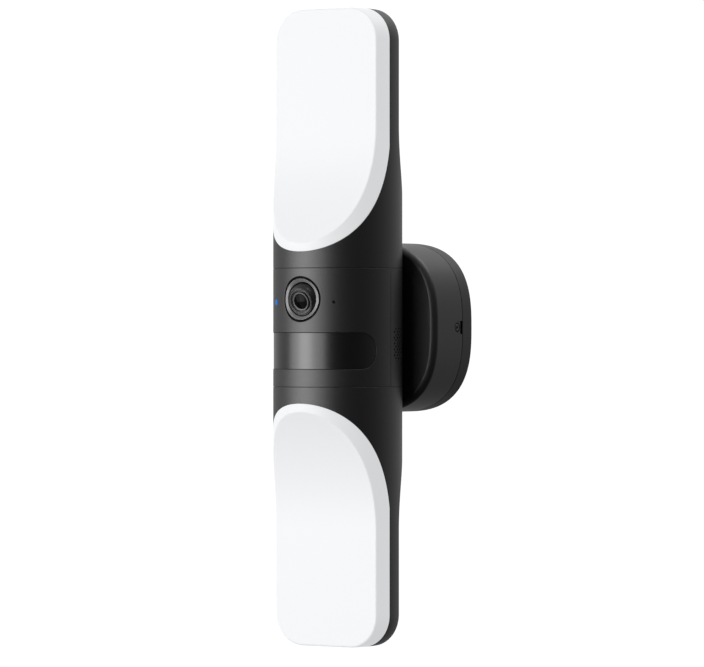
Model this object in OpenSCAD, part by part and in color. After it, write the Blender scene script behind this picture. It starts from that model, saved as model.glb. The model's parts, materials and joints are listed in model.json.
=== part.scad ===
// Wall-mounted floodlight security camera: an upright body with two scooped light panels,
// a camera section between them, and a soft-square base behind that covers a wall box.
// The origin is the centre of the wall face. +Z is up and the camera looks along -Y.
// Modules marked "body frame" are drawn around the body's own upright axis, front towards -Y.

/* [Light body] */
// Width of the body, which is the diameter of its round section
body_w = 80; // [79:0.5:82]
// Height of the body
body_h = 394; // [390:1:404]
// Corner radius of the body's outline, seen from the front
corner_r = 21; // [18:1:24]
// Wall thickness of the black shells
shell_wall = 2.5; // [2.2:0.1:2.7]
// Wall thickness of the white diffusers
diffuser_wall = 2.2; // [1.6:0.1:2.4]
// Width of the fine gaps between neighbouring covers
seam_gap = 0.4; // [0.2:0.1:0.5]

/* [Scooped profile] */
// How far the flat light faces stand in front of the body's axis
face_out = 12.8; // [12:0.1:14]
// How far the flat part of the diffuser's rear edge stands in front of the axis
seam_out = 1; // [0.8:0.1:1.4]
// How far the seam's arc would run past that flat, which sets the faint corner between them
seam_dip = 1; // [0:0.1:1.5]
// How far the lamp ends reach behind the axis
tail_back = 12; // [12:0.5:14]
// How far the flat back of the middle is behind the axis
mid_back = 27.5; // [27:0.1:27.8]
// Radius of the scoop in the light faces
face_arc_r = 112; // [106:1:116]
// Radius of the scoop along the seam
seam_arc_r = 97; // [94:1:100]
// Radius of the scoop in the back
back_arc_r = 90; // [86:1:94]
// Height above the middle at which the scoops run out into the flats
arc_z = 125; // [122:1:128]

/* [Camera section] */
// Height of the camera section between its two level seams
mid_h = 73; // [72:1:74]
// Height of the lens above the middle
lens_z = 17.4; // [16.5:0.1:17.8]
// Downward tilt of the lens at rest, in degrees
lens_tilt = 15; // [0:1:20]
// Radius of the ball that carries the lens
ball_r = 10.6; // [10.4:0.1:10.7]
// Radius of the ball's open front
rim_r = 8.5; // [8.3:0.1:8.6]
// Distance of the ball's pivot in front of the body's axis
pivot_out = 33.6; // [33.4:0.1:33.8]
// Outer diameter of the groove around the lens ring
groove_d = 28; // [27.6:0.1:28.6]
// Outer diameter of the lens ring
ring_d = 25.2; // [25:0.1:25.3]
// Height of the middle of the sensor window, below the middle
window_drop = 14.4; // [14:0.1:15]
// Height of the sensor window
window_h = 22.6; // [21:0.2:23]
// Angle from the front to each end of the sensor window, in degrees
window_sweep = 72; // [66:1:74]
// Height of the status light and microphone holes above the middle
dot_z = 15.5; // [15:0.1:16]
// Angle of the status light from the front, in degrees
light_angle = 35.6; // [34:0.1:38]
// Angle of the microphone hole from the front, in degrees
mic_angle = 32; // [31:0.5:34]
// Angle of the speaker grille's middle from the front, in degrees
speaker_angle = 108; // [107:1:110]
// Depth of the grille's middle below the middle of the body
speaker_drop = 9.9; // [9:0.1:10.5]
// Diameter of one grille hole
grille_hole_d = 1.2; // [1:0.1:1.3]

/* [Sync button] */
// Diameter of the button's cap
button_d = 9; // [8.6:0.1:9.2]
// How far the button travels when it is pressed
button_travel = 0.6; // [0.4:0.1:0.7]
// Angle of the button from the front, on the side away from the speaker, in degrees
button_angle = 108; // [107:1:110]
// Height of the button above the middle
button_z = 12; // [11.5:0.1:12]

/* [Wall base] */
// Width and height of the base
base_w = 106; // [105:0.5:110]
// Depth of the base from the wall to its front face
base_d = 41; // [40.8:0.1:41.2]
// Depth of the wall plate, from the wall to the seam around the base
plate_d = 10; // [9.6:0.1:10.4]
// Squareness of the base's outline: 2 is a circle and a large number is a square
base_n = 2.75; // [2.6:0.05:3]
// Distance of the body's axis in front of the wall
axis_out = 70; // [69.8:0.1:70.2]
// Distance between the middles of the two box screw slots
slot_spacing = 79.4; // [79:0.1:80]
// Length of one box screw slot, end to end
slot_l = 14; // [13.6:0.1:14.4]
// Width of a box screw slot
slot_w = 4.4; // [4.2:0.1:4.8]
// Diameter of the cable hole in the grommet
cable_hole_d = 8; // [7:0.5:9]

/* [Hidden] */
$fn = 64;
SMOOTH = 160;
ARC_STEPS = 20;
OUTLINE_STEPS = 96;
BIG = 300;
EPS = 0.05;

R = body_w / 2;
H = body_h / 2;
far = R + 2;
lamp_low = mid_h / 2 + seam_gap / 2;
mid_top = mid_h / 2 - seam_gap / 2;
bulkhead_t = 3;
bulkhead_top = lamp_low + bulkhead_t;
face_cy = -face_out - face_arc_r;
seam_cy = -seam_out - seam_arc_r + seam_dip;
back_cy = tail_back + back_arc_r;
inner_r = R - shell_wall;

// Light engine
tray_front = 2;
tray_t = 1.2;
board_t = 1.6;
tray_y = tray_front - seam_out;
led_x = 12;
led_rows = 7;
led_pitch = 9;
led_z = 126;
lead_x = 17;
lead_y = 8;
lead_r = 1.2;
lead_top = 118;

// Camera section
front_off = sqrt(ball_r * ball_r - rim_r * rim_r);
pin_r = 1.1;
pin_clear = 0.05;
ear_in = 11;
ear_out = 12.4;
ring_open_r = 10.55;
barrel_r = 7.5;
glass_r = 4.6;
glass_t = 2.4;
glass_seat = front_off - 0.45;
barrel_rear = -6;
frame_y = 0.5;
frame_t = 2;
boss_x = 24;
boss_z = 30;
chassis_y = 13.5;
chassis_t = 2;
chassis_x = 20;
chassis_z = 88;
lamp_boss = [12, 78];
mid_boss = [14, 24];
end_sweep = window_sweep - (window_h / 2) / R * 180 / PI;
grille_step = 3;
grille_row = 1.8;
speaker_half = [9.6, 11];
speaker_face = 34;
switch_face = 33.2;
plunger_r = 1.2;
plunger_out = 0.8;
collar_end = 29.6;

// Wall base
base_half = base_w / 2;
base_wall = 2.6;
plate_floor = 3;
housing_back = -plate_d - seam_gap;
plate_in = base_half - 4.4;
side_screw_y = housing_back - 5.4;
side_head_r = 2.6;
side_recess_r = 3.1;
notch_z = 4.1;
neck_r = 11;
neck_bore_r = 8;
board_y = -27;

// ---------- Profiles and helpers ----------

// Side view of a scoop in the front, from its low end up to the flat, moved t into the body
function front_curve(flat, cy, r, t) =
    let (low = acos((-far - cy) / (r + t)),
         high = acos(min(1, (t - flat - cy) / (r + t))))
    [for (i = [0:ARC_STEPS])
        let (a = low + (high - low) * i / ARC_STEPS)
        [cy + (r + t) * cos(a), arc_z - (r + t) * sin(a)]];

function face_curve(t) = front_curve(face_out, face_cy, face_arc_r, t);
function seam_curve(t) = front_curve(seam_out, seam_cy, seam_arc_r, t);

// Side view of the scoop in the back, from the flat down to the middle's flat back
function back_curve(t) =
    let (low = acos((back_cy - mid_back + t) / (back_arc_r + t)))
    [for (i = [0:ARC_STEPS])
        let (a = low * i / ARC_STEPS)
        [back_cy - (back_arc_r + t) * cos(a), arc_z - (back_arc_r + t) * sin(a)]];

function reversed(points) = [for (i = [len(points) - 1:-1:0]) points[i]];

// A strip that follows the seam, from a to b behind it
function seam_band(a, b) = concat(
    seam_curve(a), [[a - seam_out, H + 1], [b - seam_out, H + 1]], reversed(seam_curve(b)));

// Outline of the base: a superellipse of the given half width
function soft_square(half) =
    [for (i = [0:OUTLINE_STEPS - 1])
        let (a = 360 * i / OUTLINE_STEPS,
             d = half / pow(pow(abs(cos(a)), base_n) + pow(abs(sin(a)), base_n), 1 / base_n))
        [d * cos(a), d * sin(a)]];

module at_axis() {
    translate([0, -axis_out, 0]) children();
}

module both_x() {
    children();
    mirror([1, 0, 0]) children();
}

module both_z() {
    children();
    mirror([0, 0, 1]) children();
}

// Places a child drawn facing -Y on the round body, at an angle from the front and a height
module around(angle, z) {
    translate([0, 0, z]) rotate([0, 0, angle]) children();
}

// A rod that reaches from a to b in front of the local origin, along -Y
module rod(r, a, b) {
    rotate([90, 0, 0]) translate([0, 0, a]) cylinder(r = r, h = b - a);
}

// A block from a to b in front of the local origin, with half sizes hx and hz
module slab(hx, hz, a, b) {
    translate([-hx, -b, -hz]) cube([2 * hx, b - a, 2 * hz]);
}

// A solid of the given side view, drawn as [y, z] points, across the whole body
module side_solid(points) {
    rotate([90, 0, 90]) linear_extrude(2 * far, center = true) polygon(points);
}

// Front view of the upper half of the body, t inside its outline
module front_solid(t) {
    w = R + 0.5 - t;
    r = corner_r - t;
    top = H - t;
    corner = [for (i = [0:ARC_STEPS]) let (a = 90 * i / ARC_STEPS) [r * cos(a), r * sin(a)]];
    right = [for (p = corner) [w - r + p[0], top - r + p[1]]];
    left = [for (p = reversed(corner)) [r - w - p[0], top - r + p[1]]];
    rotate([90, 0, 0])
        linear_extrude(2 * far, center = true)
            polygon(concat([[w, 0]], right, left, [[-w, 0]]));
}

// The round body's upper half, t inside its surface
module lamp_form(t) {
    intersection() {
        cylinder(r = R - t, h = H + 1, $fn = SMOOTH);
        front_solid(t);
    }
}

// The camera section's round shape with its flat back, t inside its surface
module mid_form(t, low, high) {
    intersection() {
        translate([0, 0, low]) cylinder(r = R - t, h = high - low, $fn = SMOOTH);
        translate([-far, -far, low - 1]) cube([2 * far, far + mid_back - t, high - low + 2]);
    }
}

// The base's outline between two depths in front of the wall
module base_form(half, front, back) {
    translate([0, back, 0])
        rotate([90, 0, 0]) linear_extrude(back - front) polygon(soft_square(half));
}

// ---------- Lamps, body frame, upper one ----------

module diffuser_solid() {
    rear = seam_gap / 2;
    void = concat(face_curve(diffuser_wall),
        [[diffuser_wall - face_out, H + 1], [far, H + 1], [far, 0], [-far, 0]]);
    outer = concat(face_curve(0), [[-face_out, H + 1], [-seam_out - rear, H + 1]],
        reversed(seam_curve(-rear)));
    difference() {
        intersection() {
            lamp_form(0);
            side_solid(outer);
        }
        intersection() {
            lamp_form(diffuser_wall);
            side_solid(void);
        }
    }
}

module lamp_shell_solid() {
    rebate_in = 0.9;
    rebate_d = 0.9;
    outer = concat(seam_curve(0), [[-seam_out, H + 1], [tail_back, H + 1]], back_curve(0),
        [[mid_back, lamp_low], [-far, lamp_low]]);
    void = concat([[-far, H + 1], [tail_back - shell_wall, H + 1]], back_curve(shell_wall),
        [[mid_back - shell_wall, bulkhead_top], [-far, bulkhead_top]]);
    boss_r = 3;
    difference() {
        union() {
            difference() {
                intersection() {
                    lamp_form(0);
                    side_solid(outer);
                }
                intersection() {
                    lamp_form(shell_wall);
                    side_solid(void);
                }
            }
            both_x()
                translate([lamp_boss[0], 0, lamp_boss[1]])
                    rod(boss_r, -mid_back + 4, -chassis_y - chassis_t);
        }
        // rebate for the seal under the diffuser's edge
        intersection() {
            lamp_form(rebate_in);
            side_solid(seam_band(-1, rebate_d));
        }
        // rebate for the seal between the lamp and the camera section
        difference() {
            mid_form(1.1, lamp_low - 1, lamp_low + 1);
            mid_form(shell_wall, lamp_low - 2, lamp_low + 2);
        }
        // slot for the chassis and hole for the lead
        translate([0, chassis_y + chassis_t / 2, lamp_low])
            cube([2 * chassis_x + 1, chassis_t + 1, 3 * bulkhead_t], center = true);
        translate([lead_x, lead_y, 0]) cylinder(r = lead_r + 0.4, h = bulkhead_top + 1);
        both_x()
            translate([lamp_boss[0], 0, lamp_boss[1]])
                rod(1.3, -chassis_y - chassis_t - 6, -chassis_y);
    }
}

module diffuser_seal_solid() {
    difference() {
        intersection() {
            lamp_form(1);
            side_solid(seam_band(0.02, 0.85));
        }
        lamp_form(shell_wall - 0.1);
    }
}

module reflector_solid() {
    difference() {
        intersection() {
            lamp_form(shell_wall + 0.4);
            side_solid(seam_band(tray_front, tray_front + tray_t));
        }
        translate([lead_x, 0, lead_top]) rod(lead_r + 0.3, -9, 9);
    }
}

module led_board_solid() {
    translate([0, tray_y, 150]) slab(25, 36, 0, board_t);
}

module leds_solid() {
    for (col = [-1.5:1:1.5]) {
        for (row = [0:led_rows - 1]) {
            translate([col * led_x, tray_y - board_t, led_z + row * led_pitch])
                slab(1.75, 1.4, 0, 0.8);
        }
    }
}

module heat_sink_solid() {
    plate_t = 1.6;
    fin_depth = tail_back - shell_wall - tray_y - tray_t - 0.5;
    fin_pitch = 7;
    translate([0, tray_y + tray_t, 154]) {
        slab(26, 30, -plate_t, 0);
        for (i = [-3:3]) {
            translate([i * fin_pitch, 0, 0]) slab(0.7, 30, -fin_depth, -plate_t + 0.1);
        }
    }
}

module lamp_lead_solid() {
    translate([lead_x, lead_y, 28]) cylinder(r = lead_r, h = lead_top - 28);
    translate([lead_x, lead_y, lead_top]) sphere(r = lead_r);
    translate([lead_x, 0, lead_top]) rod(lead_r, -lead_y, -tray_y);
}

module joint_seal_solid() {
    difference() {
        mid_form(1.2, mid_top, lamp_low + 0.95);
        mid_form(shell_wall - 0.1, mid_top - 1, lamp_low + 2);
    }
}

// ---------- Camera section, body frame ----------

// The sensor window's outline on the round body, grown by g, between two radii
module window_form(g, low, high) {
    half = window_h / 2 + g;
    fan = [for (i = [-4:4]) [1.5 * R * sin(end_sweep * i / 4), -1.5 * R * cos(end_sweep * i / 4)]];
    translate([0, 0, -window_drop])
        difference() {
            union() {
                intersection() {
                    cylinder(r = high, h = 2 * half, center = true, $fn = SMOOTH);
                    linear_extrude(2 * half, center = true) polygon(concat([[0, 0]], fan));
                }
                intersection() {
                    cylinder(r = high, h = 3 * half, center = true, $fn = SMOOTH);
                    union() {
                        rotate([0, 0, end_sweep]) rod(half - EPS, 10, 2 * R);
                        rotate([0, 0, -end_sweep]) rod(half - EPS, 10, 2 * R);
                    }
                }
            }
            cylinder(r = low, h = 4 * half, center = true, $fn = SMOOTH);
        }
}

module camera_front_cover_solid() {
    groove_depth = 1.2;
    ring_clear = 0.15;
    difference() {
        mid_form(0, -mid_top, mid_top);
        cylinder(r = inner_r, h = BIG, center = true, $fn = SMOOTH);
        translate([-far, -seam_gap / 4, -BIG / 2]) cube([2 * far, far, BIG]);
        translate([0, 0, lens_z]) {
            rod(ring_d / 2 + ring_clear, 10, 2 * R);
            difference() {
                rod(groove_d / 2, 10, 2 * R);
                cylinder(r = R - groove_depth, h = groove_d + 2, center = true, $fn = SMOOTH);
            }
        }
        window_form(0, inner_r - 1, R + 1);
        around(-light_angle, dot_z) rod(2, 30, 2 * R);
        around(mic_angle, dot_z) rod(0.6, 30, 2 * R);
    }
}

module grille_holes() {
    for (col = [-4:4]) {
        first = (abs(col) % 2 == 0) ? -4 : -5;
        for (row = [first:2:-first]) {
            around(speaker_angle + col * grille_step, -speaker_drop + row * grille_row)
                rod(grille_hole_d / 2, inner_r - 1, R + 2, $fn = 24);
        }
    }
}

module camera_rear_housing_solid() {
    boss_r = 3.2;
    collar_w = 1.2;
    collar_r = button_d / 2 + 3.7;
    difference() {
        union() {
            difference() {
                mid_form(0, -mid_top, mid_top);
                mid_form(shell_wall, -mid_top - 1, mid_top + 1);
                translate([-far, -2 * far + seam_gap / 4, -BIG / 2]) cube([2 * far, 2 * far, BIG]);
            }
            intersection() {
                cylinder(r = inner_r + 0.3, h = mid_h, center = true, $fn = SMOOTH);
                union() {
                    around(speaker_angle, -speaker_drop)
                        difference() {
                            slab(speaker_half[0] + collar_w, speaker_half[1] + collar_w, 27.5, R);
                            slab(speaker_half[0], speaker_half[1], 20, R + 1);
                        }
                    around(-button_angle, button_z)
                        difference() {
                            rod(collar_r, collar_end, R);
                            rod(collar_r - 1.5, 20, R + 1);
                        }
                }
            }
            both_x() both_z()
                translate([boss_x, 0, boss_z])
                    rod(boss_r, -mid_back + 1, -frame_y - frame_t);
            both_x() both_z()
                translate([mid_boss[0], 0, mid_boss[1]])
                    rod(3, -mid_back + 1, -chassis_y - chassis_t);
        }
        rod(neck_r + 0.15, -R, -mid_back + shell_wall + 1);
        grille_holes();
        around(-button_angle, button_z) rod(button_d / 2 + 0.1, 30, 2 * R);
        both_x() both_z()
            translate([boss_x, 0, boss_z]) rod(1.3, -frame_y - frame_t - 9, 0);
        both_x() both_z()
            translate([mid_boss[0], 0, mid_boss[1]])
                rod(1.3, -chassis_y - chassis_t - 6, -chassis_y);
    }
}

module mid_frame_solid() {
    waist = 21.5;
    difference() {
        union() {
            both_z() translate([0, 0, 28.3]) slab(36.5, 5.7, -frame_y - frame_t, -frame_y);
            slab(waist, 24, -frame_y - frame_t, -frame_y);
            both_x() translate([18, 0, -window_drop]) rod(2, -frame_y - 1, 22.4);
            both_x() both_z() translate([15, 0, 28]) rod(1.8, -4, -frame_y - 1);
        }
        slab(8, 6, -BIG, BIG);
        both_x() both_z() translate([boss_x, 0, boss_z]) rod(1.6, -5, 5);
    }
}

module screw(head_r, head_h, shank_r, length) {
    rod(head_r, 0, head_h);
    rod(shank_r, -length, 0.1);
}

module frame_screws_solid() {
    both_x() both_z() translate([boss_x, frame_y, boss_z]) screw(2.6, 1.8, 1.2, 9);
}

module chassis_solid() {
    difference() {
        slab(chassis_x, chassis_z, -chassis_y - chassis_t, -chassis_y);
        rod(9, -BIG, BIG);
        both_x() both_z() translate([lamp_boss[0], 0, lamp_boss[1]]) rod(1.6, -BIG, BIG);
        both_x() both_z() translate([mid_boss[0], 0, mid_boss[1]]) rod(1.6, -BIG, BIG);
        both_z() translate([0, 0, 55]) slab(10, 8, -BIG, BIG);
    }
}

module chassis_screws_solid() {
    both_x() both_z()
        translate([lamp_boss[0], chassis_y, lamp_boss[1]]) screw(2.7, 2, 1.2, 7);
    both_x() both_z()
        translate([mid_boss[0], chassis_y, mid_boss[1]]) screw(2.7, 2, 1.2, 7);
}

// The fixed ring around the lens: flush with the round body, its face sloping inwards
module lens_bezel_solid() {
    back = pivot_out + 2.6;
    translate([0, 0, lens_z])
        difference() {
            intersection() {
                rod(ring_d / 2, back, R + 1);
                cylinder(r = R - 0.1, h = 2 * ring_d, center = true, $fn = SMOOTH);
            }
            rod(ring_open_r, 0, R + 2);
            rotate([90, 0, 0])
                translate([0, 0, R - 2.2])
                    cylinder(r1 = ring_open_r - 0.3, r2 = ring_d / 2 - 0.2, h = 2.4);
        }
}

// Soft ring behind the bezel that wipes the ball
module lens_seal_solid() {
    translate([0, 0, lens_z])
        difference() {
            rod(ring_d / 2 - 0.2, pivot_out + 2.15, pivot_out + 2.55);
            rod(ring_open_r, 0, R);
            both_x() translate([ear_in + 1, 0, 0]) slab(2, 3, 0, R);
        }
}

module at_lens() {
    translate([0, -pivot_out, lens_z]) rotate([lens_tilt, 0, 0]) children();
}

module lens_ball_solid() {
    rear = 6;
    difference() {
        union() {
            intersection() {
                sphere(r = ball_r, $fn = 96);
                slab(ball_r + 1, ball_r + 1, -rear, front_off);
            }
            both_x()
                translate([ball_r - 1.6, 0, 0])
                    rotate([0, 90, 0]) cylinder(r = pin_r, h = ear_out - ball_r + 1.5);
        }
        rod(barrel_r + 0.1, -rear - 1, front_off + 1);
    }
}

// The barrel: a ribbed groove round the lens, and a raised ring that holds the front glass
module lens_barrel_solid() {
    ribs = 5;
    rib_in = 0.24;
    rib_d = 0.42;
    ring_r = 5.85;
    groove_floor = front_off - ribs * rib_d;
    bore_r = 4;
    wall = [for (i = [0:ribs - 1], k = [0:1])
        [barrel_r - 0.25 - i * rib_in, front_off - (i + k) * rib_d]];
    ring = [[ring_r, groove_floor], [ring_r, front_off - 0.3], [ring_r - 0.2, front_off - 0.1],
        [glass_r + 0.1, glass_seat + 0.1], [glass_r + 0.1, glass_seat - glass_t - 0.1]];
    rotate([90, 0, 0])
        rotate_extrude()
            polygon(concat([[barrel_r, barrel_rear], [barrel_r, front_off]], wall, ring,
                [[bore_r, glass_seat - glass_t - 0.1], [bore_r, barrel_rear]]));
}

module lens_glass_solid() {
    dome_r = 14;
    crown = dome_r - sqrt(dome_r * dome_r - glass_r * glass_r);
    difference() {
        intersection() {
            translate([0, -glass_seat + dome_r - crown, 0]) sphere(r = dome_r, $fn = 96);
            rod(glass_r, glass_seat - glass_t, R);
        }
        slab(BIG, BIG, -BIG, glass_seat - glass_t);
    }
}

module image_sensor_board_solid() {
    slab(7.4, 7.4, -8.2, -7);
    slab(2.8, 2.4, -7.05, -5.6);
    slab(5.6, 5.6, -7.05, -6.1);
}

module lens_cradle_solid() {
    plate_front = 19;
    plate_back = 17.5;
    ear_r = 2;
    translate([0, 0, lens_z])
        difference() {
            union() {
                both_x() {
                    translate([ear_in, -pivot_out, 0])
                        rotate([0, 90, 0]) cylinder(r = ear_r, h = ear_out - ear_in);
                    translate([ear_in, -pivot_out, -ear_r + EPS])
                        cube([ear_out - ear_in, pivot_out - plate_back, 2 * (ear_r - EPS)]);
                    translate([ear_out - 2, 0, 0]) slab(2, 6, -frame_y, plate_back + 0.5);
                }
                slab(ear_out, 8, plate_back, plate_front);
            }
            both_x()
                translate([0, -pivot_out, 0])
                    rotate([0, 90, 0]) cylinder(r = pin_r + pin_clear, h = ear_out + 1);
            rod(4, 0, R);
        }
}

module sensor_window_solid() {
    window_form(-0.12, inner_r - 1, R - 0.3);
    window_form(1.4, inner_r - 1.2, inner_r - 0.1);
}

module sensor_board_solid() {
    difference() {
        translate([0, 0, -window_drop]) slab(22, 10.5, 22.4, 24);
        both_x() translate([18, 0, -window_drop]) rod(1, 0, R);
    }
}

module pir_sensors_solid() {
    both_x()
        translate([11, 0, -window_drop])
            difference() {
                rod(4.1, 24, 28.4);
                slab(2, 1.5, 28.2, 30);
            }
}

module light_sensor_solid() {
    translate([0, 0, -window_drop]) slab(1.6, 1.6, 24, 25.2);
}

module status_light_pipe_solid() {
    around(-light_angle, dot_z)
        intersection() {
            union() {
                rod(1.9, 33, R);
                rod(2.8, 33, inner_r - 0.4);
            }
            cylinder(r = R - 0.15, h = 12, center = true, $fn = SMOOTH);
        }
}

module status_led_solid() {
    around(-light_angle, dot_z) {
        slab(1.4, 1.4, 31.95, 33);
        slab(4, 4, 31, 32);
    }
}

module microphone_solid() {
    around(mic_angle, dot_z) {
        slab(2, 1.5, 33.75, 35);
        slab(3.5, 3, 32.8, 33.8);
    }
}

module mic_seal_solid() {
    around(mic_angle, dot_z)
        difference() {
            rod(2.4, 35, inner_r - 0.15);
            rod(0.7, 34, R);
        }
}

module speaker_solid() {
    around(speaker_angle, -speaker_drop)
        difference() {
            union() {
                slab(speaker_half[0] - 0.2, speaker_half[1] - 0.2, 31, speaker_face);
                rod(6.5, 28, 31.1);
            }
            slab(speaker_half[0] - 1.4, speaker_half[1] - 1.4, 32, speaker_face + 1);
        }
}

module speaker_cone_solid() {
    around(speaker_angle, -speaker_drop) {
        slab(speaker_half[0] - 1.7, speaker_half[1] - 1.7, 32.6, 33.1);
        intersection() {
            translate([0, -24.5, 0]) sphere(r = 10);
            rod(5.5, 33, R);
        }
    }
}

module speaker_gasket_solid() {
    around(speaker_angle, -speaker_drop)
        intersection() {
            difference() {
                slab(speaker_half[0] - 0.1, speaker_half[1] - 0.1, speaker_face, R);
                slab(speaker_half[0] - 1.3, speaker_half[1] - 1.3, speaker_face - 1, R + 1);
            }
            cylinder(r = inner_r - 0.1, h = mid_h, center = true, $fn = SMOOTH);
        }
}

module main_board_solid() {
    difference() {
        slab(20, 33, -frame_y - frame_t - 3.1, -frame_y - frame_t - 1.5);
        both_x() translate([20, 0, 24]) slab(1.5, 3, -BIG, BIG);
    }
}

module shield_can_solid() {
    translate([-6, 0, 20]) slab(10, 8, -8.6, -5.6);
}

module wifi_antenna_solid() {
    translate([-34.8, 4, -32]) cube([0.8, 8, 24]);
}

// ---------- Sync button, body frame ----------

module at_button() {
    around(-button_angle, button_z) children();
}

module sync_button_solid() {
    flange_face = inner_r - 0.8;
    at_button()
        intersection() {
            union() {
                rod(button_d / 2, flange_face - 0.5, R);
                rod(button_d / 2 + 1.3, flange_face - 0.9, flange_face);
                rod(1.5, switch_face + plunger_out, flange_face);
            }
            cylinder(r = R - 0.1, h = 2 * button_d, center = true, $fn = SMOOTH);
        }
}

module sync_button_seal_solid() {
    at_button()
        difference() {
            rod(button_d / 2 + 2, switch_face + 0.5, switch_face + 1.6);
            rod(1.8, 0, R);
        }
}

module sync_switch_solid() {
    bore_depth = 2 * button_travel + 0.2;
    at_button()
        difference() {
            slab(3.2, 3.2, collar_end, switch_face);
            rod(plunger_r + EPS, switch_face - bore_depth, R);
        }
}

module switch_plunger_solid() {
    at_button() rod(plunger_r, switch_face - button_travel, switch_face + plunger_out);
}

module switch_board_solid() {
    at_button() rod(button_d / 2 + 3.6, collar_end - 1.2, collar_end);
}

// ---------- Neck, wall frame ----------

module neck_solid() {
    flange_front = -axis_out + mid_back - shell_wall;
    difference() {
        union() {
            rod(17, -flange_front, -flange_front + 3);
            rod(neck_r, 33.2, -flange_front + 1);
        }
        rod(neck_bore_r, 0, BIG);
    }
}

module neck_seal_solid() {
    difference() {
        rod(24, base_d, axis_out - mid_back);
        rod(neck_r + 0.2, 0, BIG);
    }
}

module neck_nut_solid() {
    nut_front = base_d - base_wall;
    difference() {
        rotate([90, 0, 0]) translate([0, 0, nut_front - 5]) cylinder(r = 18, h = 5, $fn = 6);
        rod(neck_r + 0.05, 0, BIG);
    }
}

module wire_harness_solid() {
    board_rear = axis_out - frame_y - frame_t - 3.1;
    rod(3, -board_y + 3, board_rear - 3);
    slab(5, 3.5, -board_y, -board_y + 4);
    slab(5, 3.5, board_rear - 4.5, board_rear);
}

// ---------- Wall base, wall frame ----------

module base_housing_solid() {
    stand = [27, 23];
    round_over = 3.6;
    corner = round_over * (1 - cos(45));
    difference() {
        union() {
            hull() {
                base_form(base_half - round_over, -base_d, -base_d + 0.01);
                base_form(base_half - corner, -base_d + corner, -base_d + corner + 0.01);
                base_form(base_half, -base_d + round_over, -base_d + round_over + 0.01);
            }
            base_form(base_half, -base_d + round_over, housing_back);
        }
        base_form(base_half - base_wall, -base_d + base_wall, 0);
        rod(neck_r + 0.15, 0, BIG);
        both_x() {
            // side screw: round recess, shank hole, shallow flat and the gap at the seam
            translate([base_half, side_screw_y, 0]) {
                rotate([0, 90, 0]) cylinder(r = side_recess_r, h = 3.2, center = true);
                rotate([0, 90, 0]) cylinder(r = 2.1, h = 3 * base_wall, center = true);
                translate([-0.4, 0, -notch_z]) cube([2, 9, 2 * notch_z]);
            }
            translate([base_half - 3 * base_wall / 2, housing_back - 1.75, -notch_z])
                cube([3 * base_wall, 3, 2 * notch_z]);
        }
    }
    both_x() both_z()
        translate([stand[0], 0, stand[1]])
            difference() {
                rod(3, -board_y, base_d - base_wall + 0.5);
                rod(1.3, -board_y - 1, -board_y + 7);
            }
}

module wall_plate_solid() {
    lip_out = base_half - base_wall - 0.3;
    lip_d = 4;
    tab_x = [42.5, 49];
    difference() {
        union() {
            difference() {
                union() {
                    base_form(base_half, -plate_d, 0);
                    base_form(lip_out, -plate_d - lip_d, -plate_d + 0.5);
                }
                base_form(plate_in, -plate_d - lip_d - 1, -plate_floor);
                translate([-BIG / 2, -plate_d - 2 * lip_d, -7]) cube([BIG, 2 * lip_d, 14]);
            }
            both_x()
                translate([tab_x[0], side_screw_y - 4.5, -5])
                    cube([tab_x[1] - tab_x[0], -side_screw_y + 4.5 - 1, 10]);
        }
        // side screw threads
        both_x()
            translate([tab_x[0] - 1, side_screw_y, 0])
                rotate([0, 90, 0]) cylinder(r = 1.9, h = 12);
        // box screw slots, one above and one below the cable hole
        both_z()
            translate([0, 0, slot_spacing / 2]) {
                translate([0, 0, (slot_l - slot_w) / 2]) rod(slot_w / 2, -1, plate_floor + 1);
                translate([0, 0, -(slot_l - slot_w) / 2]) rod(slot_w / 2, -1, plate_floor + 1);
                slab(slot_w / 2, (slot_l - slot_w) / 2, -1, plate_floor + 1);
            }
        rod(9, -1, plate_floor + 1);
        // groove for the gasket on the wall side
        difference() {
            base_form(base_half - 1.4, -1.6, 1);
            base_form(base_half - 4.4, -3, 2);
        }
    }
}

module wall_gasket_solid() {
    difference() {
        base_form(base_half - 1.5, -1.55, 0);
        base_form(base_half - 4.3, -3, 1);
    }
}

module side_screws_solid() {
    head_t = 1.3;
    seat = base_half - 1.6;
    both_x()
        translate([0, side_screw_y, 0])
            rotate([0, 0, 90])
                difference() {
                    union() {
                        rod(side_head_r, seat, seat + head_t);
                        rod(1.85, 41, seat + 0.1);
                    }
                    rotate([90, 0, 0])
                        translate([0, 0, seat + 0.4]) cylinder(r = 1, h = 3, $fn = 6);
                }
}

module cable_grommet_solid() {
    difference() {
        union() {
            rod(8.9, 0.3, plate_floor + 0.1);
            rod(11, plate_floor, plate_floor + 2);
        }
        rod(cable_hole_d / 2, -1, 10);
    }
}

module driver_board_solid() {
    difference() {
        slab(32, 28, -board_y - board_t, -board_y);
        both_x() both_z() translate([27, 0, 23]) rod(1.5, 0, BIG);
    }
}

module driver_components_solid() {
    rear = -board_y - board_t;
    // transformer, two capacitors and a choke
    translate([-14, 0, 12]) slab(11, 9, rear - 14, rear);
    translate([8, 0, 16]) rod(5, rear - 13, rear);
    translate([20, 0, 16]) rod(5, rear - 13, rear);
    translate([23, 0, 0]) rod(4, rear - 9, rear);
}

module terminal_block_solid() {
    rear = -board_y - board_t;
    difference() {
        translate([0, 0, -19]) slab(13, 5.5, rear - 11, rear);
        for (x = [-8.6, 0, 8.6]) {
            translate([x, 0, -19]) rod(2.2, rear - 12, rear - 6);
            translate([x - 2, -rear + 2, -30]) cube([4, 4, 12]);
        }
    }
}

// ---------- Nodes ----------

module upper(tint) {
    color(tint) at_axis() children();
}

module lower(tint) {
    color(tint) at_axis() mirror([0, 0, 1]) children();
}

module pair(tint) {
    color(tint) at_axis() both_z() children();
}

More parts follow.
